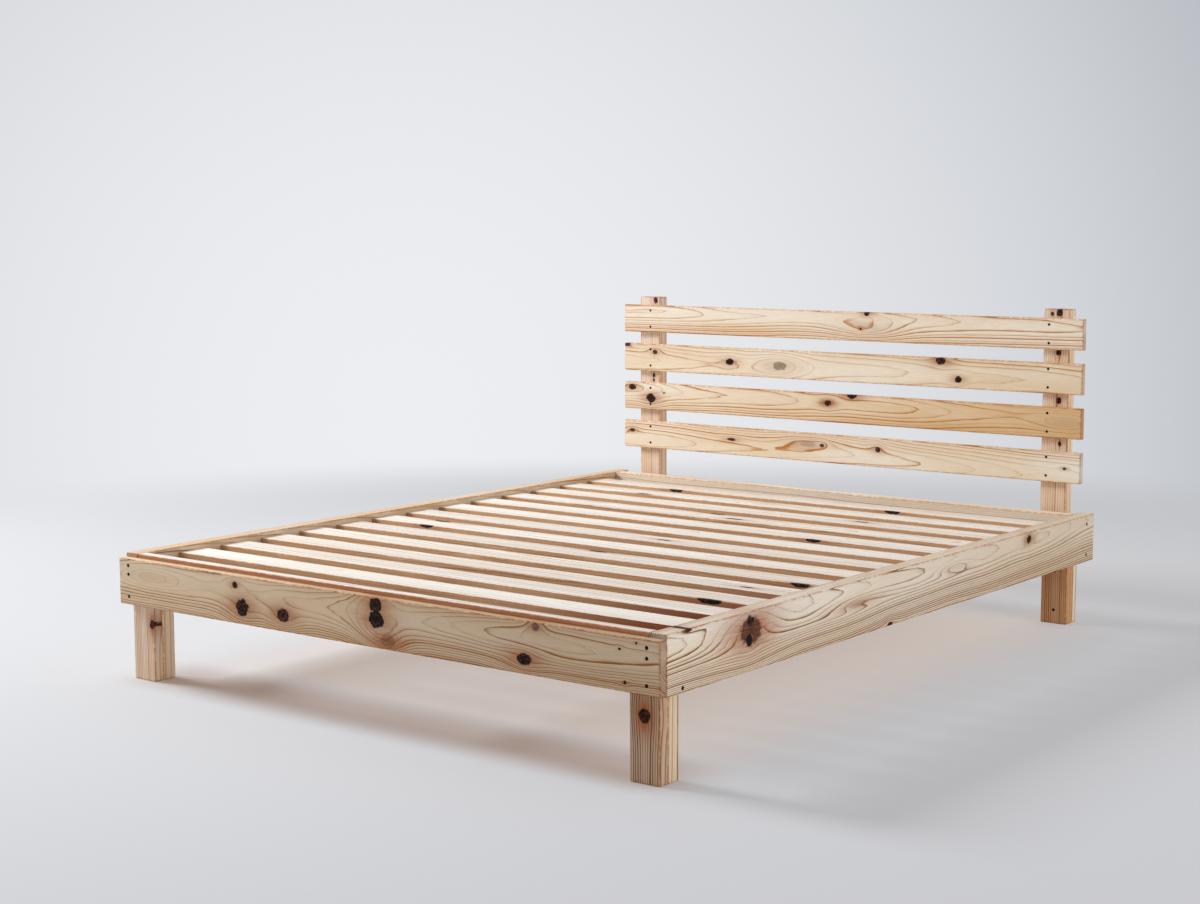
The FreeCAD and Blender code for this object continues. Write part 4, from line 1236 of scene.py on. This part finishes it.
def floor_material():
    """Pale paint for all rays. The camera also sees a glow of painted light that lightens the
    shadows.
    """
    material, shader = new_material("studio floor")
    tree = material.node_tree
    at = add_node(tree, "ShaderNodeTexCoord").outputs["Object"]
    glow = {"Color": painted_floor_light(at), "Strength": 1.0}
    glow = add_node(tree, "ShaderNodeEmission", glow).outputs[0]
    to_the_right = ease(split(at)[0], *PAINT_LEFT_TO_RIGHT)
    paint = mix(to_the_right, screen("b0b0b3"), screen("dedee1"))
    plug(shader.inputs["Base Color"], paint)
    shader.inputs["Roughness"].default_value = 0.75
    shader.inputs["Specular IOR Level"].default_value = 0.2
    share = times(seen_directly(tree), GLOW_SHARE)
    lit = {0: share, 1: shader.outputs[0], 2: glow}
    lit = add_node(tree, "ShaderNodeMixShader", lit).outputs[0]
    shown = ease(calc_vector("LENGTH", at, output="Value"), *FADES_OUT)
    gone = tree.nodes.new("ShaderNodeBsdfTransparent").outputs[0]
    whole = add_node(tree, "ShaderNodeMixShader", {0: shown, 1: gone, 2: lit})
    plug(tree.nodes["Material Output"].inputs["Surface"], whole.outputs[0])
    return material


floor_mesh = bpy.data.meshes.new("floor")
turns = [math.tau * corner / FLOOR_CORNERS for corner in range(FLOOR_CORNERS)]
rim = [(FLOOR_RADIUS * math.cos(turn), FLOOR_RADIUS * math.sin(turn), 0.0) for turn in turns]
floor_mesh.from_pydata(rim, [], [range(FLOOR_CORNERS)])
floor = bpy.data.objects.new("floor", floor_mesh)
bpy.context.scene.collection.objects.link(floor)
floor.data.materials.append(floor_material())
floor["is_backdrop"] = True
print("floor radius:", FLOOR_RADIUS, "m")

# %% World
BACKGROUND_MIDDLE = (-0.681, 0.729, -0.10)
BACKGROUND_REACH = (0.90, 1.005)
# The even light is weaker from the foot end than from the head end.
FOOT_TO_HEAD = (-0.7, 0.7)
EVEN_LIGHT = (0.34, 0.66)
EVEN_LIGHT_COLOUR = (1.0, 0.95, 0.91, 1.0)


def ramp(value, start, end, low=0.0, high=1.0):
    """A straight step from low at the start to high at the end."""
    ends = {"From Min": start, "From Max": end, "To Min": low, "To Max": high}
    made = add_node(tree_of(value), "ShaderNodeMapRange", {"Value": value, **ends})
    return made.outputs["Result"]


def make_world():
    """An even light for surfaces, and the pale background for the camera and for shine."""
    world = bpy.data.worlds.new("studio")
    world.use_nodes = True
    tree = world.node_tree
    tree.nodes.clear()
    direction = add_node(tree, "ShaderNodeTexCoord").outputs["Generated"]
    middle = Vector(BACKGROUND_MIDDLE).normalized()
    facing = calc_vector("DOT_PRODUCT", direction, middle, output="Value")
    near = ramp(facing, *BACKGROUND_REACH)
    colour = mix(near, screen("b3b8bf"), screen("eff0f3"))
    seen = add_node(tree, "ShaderNodeBackground", {"Color": colour, "Strength": 1.0})
    strength = ramp(split(direction)[1], *FOOT_TO_HEAD, *EVEN_LIGHT)
    lit = {"Color": EVEN_LIGHT_COLOUR, "Strength": strength}
    lit = add_node(tree, "ShaderNodeBackground", lit)
    both = {0: seen_directly(tree), 1: lit.outputs[0], 2: seen.outputs[0]}
    both = add_node(tree, "ShaderNodeMixShader", both)
    out = tree.nodes.new("ShaderNodeOutputWorld")
    plug(out.inputs["Surface"], both.outputs[0])
    bpy.context.scene.world = world


make_world()
print("world:", bpy.context.scene.world.name)

# %% Lamps
LAMPS_AIM = Vector((0.0, 0.0, 0.2))


def soft_lamp(name, place, width, height, power, colour=(1.0, 1.0, 1.0)):
    """A large rectangular lamp that faces the bed."""
    lamp = bpy.data.lights.new(name, "AREA")
    lamp.shape = "RECTANGLE"
    lamp.size = width
    lamp.size_y = height
    lamp.energy = power
    lamp.color = colour
    holder = bpy.data.objects.new(name, lamp)
    bpy.context.scene.collection.objects.link(holder)
    holder.location = place
    holder.visible_camera = False
    holder.rotation_euler = (LAMPS_AIM - Vector(place)).to_track_quat("-Z", "Y").to_euler()
    print(name, "at", place, "with", power, "W")


soft_lamp(
    "key lamp", (-5.2, -1.5, 3.5), width=2.0, height=1.7, power=385.0, colour=(0.93, 0.97, 1.0)
)
soft_lamp("side lamp", (5.5, 0.2, 1.1), width=2.6, height=1.6, power=60.0)

# %% [markdown]
# ## The end
#
# The size of the finished model is measured and printed.

# %% Measure and finish
low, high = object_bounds()
print("size of the finished bed:", [round(b - a, 4) for a, b in zip(low, high)])
